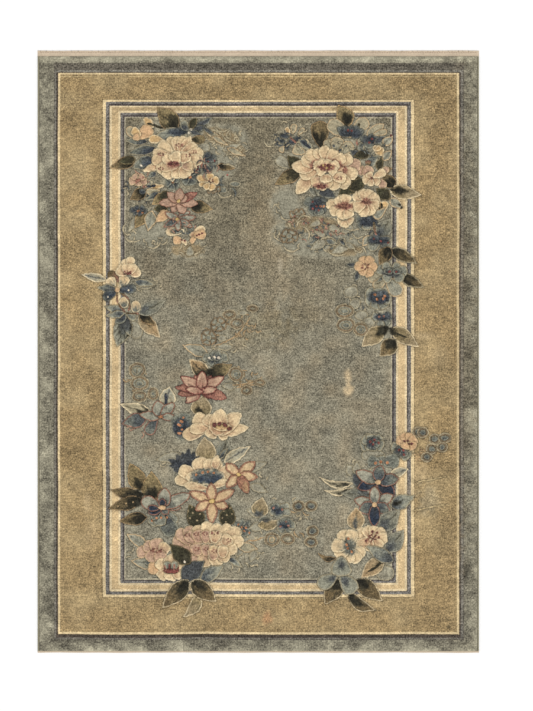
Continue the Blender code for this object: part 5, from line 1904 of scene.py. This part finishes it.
def wound_cord(name, side):
    """A round cord with silk thread wound closely round it, flat where it lies."""
    rings = int((CLOTH_HEAD - CLOTH_FOOT) / (WIND_PITCH / WIND_RINGS)) + 1
    radius = CORD_WIDTH / 2
    turn = 2 * math.pi * (np.arange(CORD_SIDES) + 0.5) / CORD_SIDES
    y = np.linspace(CLOTH_FOOT, CLOTH_HEAD, rings)
    phase = 2 * math.pi * y[:, None] / WIND_PITCH + turn[None, :]
    reach = radius - WIND_DEPTH * (1.0 - np.cos(phase)) / 2
    x = side * (RUG_WIDTH / 2 - radius) + reach * np.cos(turn)
    z = np.maximum(radius + reach * np.sin(turn), 0.0)
    vertices = np.stack([x, np.repeat(y[:, None], CORD_SIDES, axis=1), z], axis=2).reshape(-1, 3)
    faces, uvs = [], []
    for i in range(rings - 1):
        low, high = (UV_EDGE + UV_SPAN * k / (rings - 1) for k in (i, i + 1))
        start, far = i * CORD_SIDES, (i + 1) * CORD_SIDES
        for j in range(CORD_SIDES):
            after = (j + 1) % CORD_SIDES
            faces.append([start + j, far + j, far + after, start + after])
            left, right = (UV_TOP + (UV_SPAN - UV_TOP) * k / CORD_SIDES for k in (j, j + 1))
            uvs += [(low, left), (high, left), (high, right), (low, right)]
    for start, middle, way in zip((0, (rings - 1) * CORD_SIDES), END_U, (1, -1)):
        for j in range(CORD_SIDES)[::way]:
            uvs.append((middle + END_RADIUS * math.cos(turn[j]), END_V + END_RADIUS * math.sin(turn[j])))
        faces.append([start + j for j in range(CORD_SIDES)[::way]])
    made = link_mesh(name, vertices, faces, uvs)
    made.data.shade_smooth()
    return made


def ball(sides, rings):
    """The places and the faces of a ball of radius 1, from its top down."""
    places = [(0.0, 0.0, 1.0)]
    for ring in range(1, rings):
        down = math.pi * ring / rings
        for side in range(sides):
            turn = math.pi / 2 + 2 * math.pi * side / sides
            out = math.sin(down)
            places.append((out * math.cos(turn), out * math.sin(turn), math.cos(down)))
    places.append((0.0, 0.0, -1.0))
    foot = len(places) - 1
    faces = []
    for side in range(sides):
        after = (side + 1) % sides
        faces.append((0, 1 + side, 1 + after))
        for high in range(1, foot - sides, sides):
            low = high + sides
            faces.append((high + side, low + side, low + after, high + after))
        faces.append((foot - sides + side, foot, foot - sides + after))
    return np.array(places), faces


def bead_row(name, places, half_sizes, sides, rings):
    """Many small rounded beads in one piece, such as stitches or the cut ends of threads."""
    unit, unit_faces = ball(sides, rings)
    vertices = [np.array(place) + np.array(size) * unit for place, size in zip(places, half_sizes)]
    faces = [
        [number * len(unit) + corner for corner in face]
        for number in range(len(places))
        for face in unit_faces
    ]
    mesh = bpy.data.meshes.new(name)
    mesh.from_pydata(np.concatenate(vertices).tolist(), [], faces)
    mesh.shade_smooth()
    return linked(name, mesh)


def head_stitches():
    """The brown thread that is stitched along the head band."""
    random = np.random.default_rng(SEED + STITCH_SEED)
    count = int((RUG_WIDTH - 2 * STITCH_LENGTH) / STITCH_PITCH)
    start = -(count - 1) * STITCH_PITCH / 2
    places = []
    for number in range(count):
        y = RUG_LENGTH / 2 - STITCH_INSET + random.uniform(-STITCH_STRAY, STITCH_STRAY)
        places.append((start + number * STITCH_PITCH, y, BAND_THICKNESS))
    size = (STITCH_LENGTH / 2, STITCH_WIDTH / 2, STITCH_WIDTH * STITCH_RAISED)
    return bead_row("head_stitching", places, [size] * count, *STITCH_SIDES)


def head_nubs():
    """The cut ends of the warp threads, which show as dark nubs on the head band's edge."""
    random = np.random.default_rng(SEED + NUB_SEED)
    places, sizes = [], []
    x = -RUG_WIDTH / 2 + NUB_PITCH / 2
    while x < RUG_WIDTH / 2 - NUB_PITCH / 2:
        size = NUB_RADIUS * random.uniform(*NUB_SIZES)
        places.append((x, RUG_LENGTH / 2 - NUB_INSET, BAND_THICKNESS * NUB_LEVEL))
        sizes.append((size, size * NUB_DEPTH, size * NUB_RAISED))
        x += NUB_PITCH * random.uniform(*NUB_STEPS)
    return bead_row("head_warp_ends", places, sizes, *NUB_SIDES)


# Gloss: how rough the sheen is, and how strongly plain threads and the silk mirror light
SHEEN_ROUGHNESS = 0.4
THREAD_LEVEL = 0.15
# The range of a noise that counts
NOISE_RANGE = (0.25, 0.75)
# The silk: roughness, sheen and mirroring, and the grains of its knots and of uneven dye
SILK = (0.68, 0.18, 0.12)
SILK_GRAINS = (
    # bumps per metre along x, y and z, strength, detail
    ((250.0, 230.0, 120.0), 0.60, 1.0),
    ((480.0, 400.0, 200.0), 0.35, 2.0),
    ((100.0, 125.0, 60.0), 0.34, 2.0),
    ((18.0, 300.0, 40.0), 0.12, 2.0),
    ((24.0, 20.0, 10.0), 0.13, 2.0),
)
SILK_BUMP = (0.5, 0.0010)
# The other threads
THREADS = {
    # name: dye, bumps per metre along x, y and z, strength, roughness, sheen
    "webbing_weave": ("webbing", (260.0, 420.0, 100.0), 0.16, 0.85, 0.10),
    "stitch_thread": ("thread", (300.0, 900.0, 300.0), 0.20, 0.70, 0.10),
    "warp_ends": ("nub", (500.0, 500.0, 500.0), 0.30, 0.90, 0.00),
    "cord_thread": ("cord", (500.0, 650.0, 500.0), 0.20, 0.60, 0.15),
}
THREAD_DETAIL = 2.0
THREAD_CLOUDS = ((30.0, 30.0, 10.0), 0.08, THREAD_DETAIL)
THREAD_BUMP = (0.3, 0.0005)
FLOOR_COLOUR = (0.98, 0.98, 0.98, 1.0)
FLOOR_ROUGHNESS = 0.9


def new_material(name, roughness, sheen, level):
    """A material with this gloss, its nodes and its shader."""
    made = bpy.data.materials.new(name)
    made.use_nodes = True
    shader = made.node_tree.nodes["Principled BSDF"]
    shader.inputs["Roughness"].default_value = roughness
    shader.inputs["Sheen Weight"].default_value = sheen
    shader.inputs["Sheen Roughness"].default_value = SHEEN_ROUGHNESS
    shader.inputs["Specular IOR Level"].default_value = level
    return made, made.node_tree, shader


def grain(tree, scales, strength, detail):
    """A grey noise round 1, in the object's own space, stretched by scales per metre."""
    place = tree.nodes.new("ShaderNodeTexCoord")
    mapping = tree.nodes.new("ShaderNodeMapping")
    mapping.inputs["Scale"].default_value = scales
    bumps = tree.nodes.new("ShaderNodeTexNoise")
    bumps.inputs["Scale"].default_value = 1.0
    bumps.inputs["Detail"].default_value = detail
    span = tree.nodes.new("ShaderNodeMapRange")
    ends = (*NOISE_RANGE, 1.0 - strength, 1.0 + strength)
    for entry, value in zip(("From Min", "From Max", "To Min", "To Max"), ends):
        span.inputs[entry].default_value = value
    tree.links.new(place.outputs["Object"], mapping.inputs["Vector"])
    tree.links.new(mapping.outputs["Vector"], bumps.inputs["Vector"])
    tree.links.new(bumps.outputs["Fac"], span.inputs["Value"])
    return span.outputs["Result"]


def arithmetic(tree, operation, first, second):
    """The sum, product or other result of two values or node outputs."""
    node = tree.nodes.new("ShaderNodeMath")
    node.operation = operation
    for value, entry in ((first, node.inputs[0]), (second, node.inputs[1])):
        if isinstance(value, float):
            entry.default_value = value
        else:
            tree.links.new(value, entry)
    return node.outputs["Value"]


def times(tree, colour, factor):
    """A colour made darker or lighter by a factor."""
    node = tree.nodes.new("ShaderNodeVectorMath")
    node.operation = "SCALE"
    tree.links.new(colour, node.inputs[0])
    tree.links.new(factor, node.inputs["Scale"])
    return node.outputs["Vector"]


def bumped(tree, shader, height, strength, distance_m):
    """Give a shader the small relief of this height."""
    bump = tree.nodes.new("ShaderNodeBump")
    bump.inputs["Strength"].default_value = strength
    bump.inputs["Distance"].default_value = distance_m
    tree.links.new(height, bump.inputs["Height"])
    tree.links.new(bump.outputs["Normal"], shader.inputs["Normal"])


def pile_material():
    """Sheared silk pile: the drawn dyes with their painted shade and highlights, the knots' grain and
    streaks of uneven dye.
    """
    made, tree, shader = new_material("silk_pile", *SILK)
    dye = tree.nodes.new("ShaderNodeAttribute")
    dye.attribute_name = "Dye"
    knots, *others = (grain(tree, *row) for row in SILK_GRAINS)
    grains = knots
    for factor in others:
        grains = arithmetic(tree, "MULTIPLY", grains, factor)
    beyond = arithmetic(tree, "SUBTRACT", grains, 1.0)
    weighed = arithmetic(tree, "MULTIPLY", beyond, dye.outputs["Alpha"])
    colour = times(tree, dye.outputs["Color"], arithmetic(tree, "ADD", weighed, 1.0))
    tree.links.new(colour, shader.inputs["Base Color"])
    bumped(tree, shader, knots, *SILK_BUMP)
    return made


def thread_material(name):
    """Plain spun thread of one dye, with a fine grain and faint clouds."""
    dye, scales, strength, roughness, sheen = THREADS[name]
    made, tree, shader = new_material(name, roughness, sheen, THREAD_LEVEL)
    flat = tree.nodes.new("ShaderNodeRGB")
    flat.outputs[0].default_value = (*linear(rgb(dye)), 1.0)
    fine = grain(tree, scales, strength, THREAD_DETAIL)
    colour = times(tree, flat.outputs[0], fine)
    colour = times(tree, colour, grain(tree, *THREAD_CLOUDS))
    tree.links.new(colour, shader.inputs["Base Color"])
    bumped(tree, shader, fine, *THREAD_BUMP)
    return made


# The studio: the floor in metres, the camera straight above and the light
FLOOR_SIZE = 40.0
SENSOR_WIDTH = 36.0
LENS = 85.0
VIEW_ROWS = 711
VIEW_CENTRE = (0.0226, -0.0106)
VIEW_DEPTH = 4.0
WORLD_STRENGTH = 0.78
SUN_STRENGTH = 1.15
SUN_TURN = (math.radians(42.0), 0.0, math.radians(25.0))
SUN_SPREAD = math.radians(12.0)


def floor():
    """The plain light ground of the studio."""
    mesh = bpy.data.meshes.new("floor")
    half = FLOOR_SIZE / 2
    corner_places = [(-half, -half, 0.0), (half, -half, 0.0), (half, half, 0.0), (-half, half, 0.0)]
    mesh.from_pydata(corner_places, [], [(0, 1, 2, 3)])
    made = linked("floor", mesh)
    material, _, shader = new_material("floor", FLOOR_ROUGHNESS, 0.0, 0.0)
    shader.inputs["Base Color"].default_value = FLOOR_COLOUR
    mesh.materials.append(material)
    return made


def light_and_camera():
    """Even light from all round, a soft sun, and the camera straight above the rug."""
    scene = bpy.context.scene
    world = bpy.data.worlds.new("studio")
    world.use_nodes = True
    background = world.node_tree.nodes["Background"]
    background.inputs["Color"].default_value = (1.0, 1.0, 1.0, 1.0)
    background.inputs["Strength"].default_value = WORLD_STRENGTH
    scene.world = world
    sun = bpy.data.objects.new("sun", bpy.data.lights.new("sun", "SUN"))
    sun.data.energy = SUN_STRENGTH
    sun.data.angle = SUN_SPREAD
    sun.rotation_euler = SUN_TURN
    scene.collection.objects.link(sun)
    camera = bpy.data.objects.new("camera", bpy.data.cameras.new("camera"))
    camera.data.lens = LENS
    camera.data.sensor_width = SENSOR_WIDTH
    scene.collection.objects.link(camera)
    away = VIEW_ROWS * SQUARE * LENS / SENSOR_WIDTH
    camera.location = (*VIEW_CENTRE, away + GROUND_HEIGHT)
    camera.rotation_euler = (0.0, 0.0, 0.0)
    camera.data.clip_end = VIEW_DEPTH * away
    scene.camera = camera
    scene.view_settings.view_transform = "Standard"


def main():
    """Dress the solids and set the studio."""
    patches = [patch for spray in SPRAYS for patch in spray_patches(spray)]
    pile = pile_pieces(patches)
    back = back_sheet()
    half_length = RUG_LENGTH / 2
    head = end_band("head_webbing_weave", half_length - HEAD_BAND_DEPTH, half_length)
    foot = end_band("foot_webbing_weave", -half_length + FOOT_BAND_DEPTH, -half_length)
    stitches, nubs = head_stitches(), head_nubs()
    left, right = wound_cord("left_cord", -1), wound_cord("right_cord", 1)
    webbing, thread, ends, cord = (thread_material(name) for name in THREADS)
    silk = pile_material()
    for pieces, material, node, slot in (
        (pile, silk, "carpet", "pile"),
        ([back], webbing, "carpet", "pile"),
        ([head], webbing, "head_webbing", "webbing"),
        ([foot], webbing, "foot_webbing", "webbing"),
        ([stitches], thread, "head_webbing", "webbing"),
        ([nubs], ends, "head_webbing", "webbing"),
        ([left], cord, "left_selvedge", "selvedge"),
        ([right], cord, "right_selvedge", "selvedge"),
    ):
        for piece in pieces:
            piece.data.materials.append(material)
            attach(piece, "root")
            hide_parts(node)
    ground = floor()
    light_and_camera()


main()
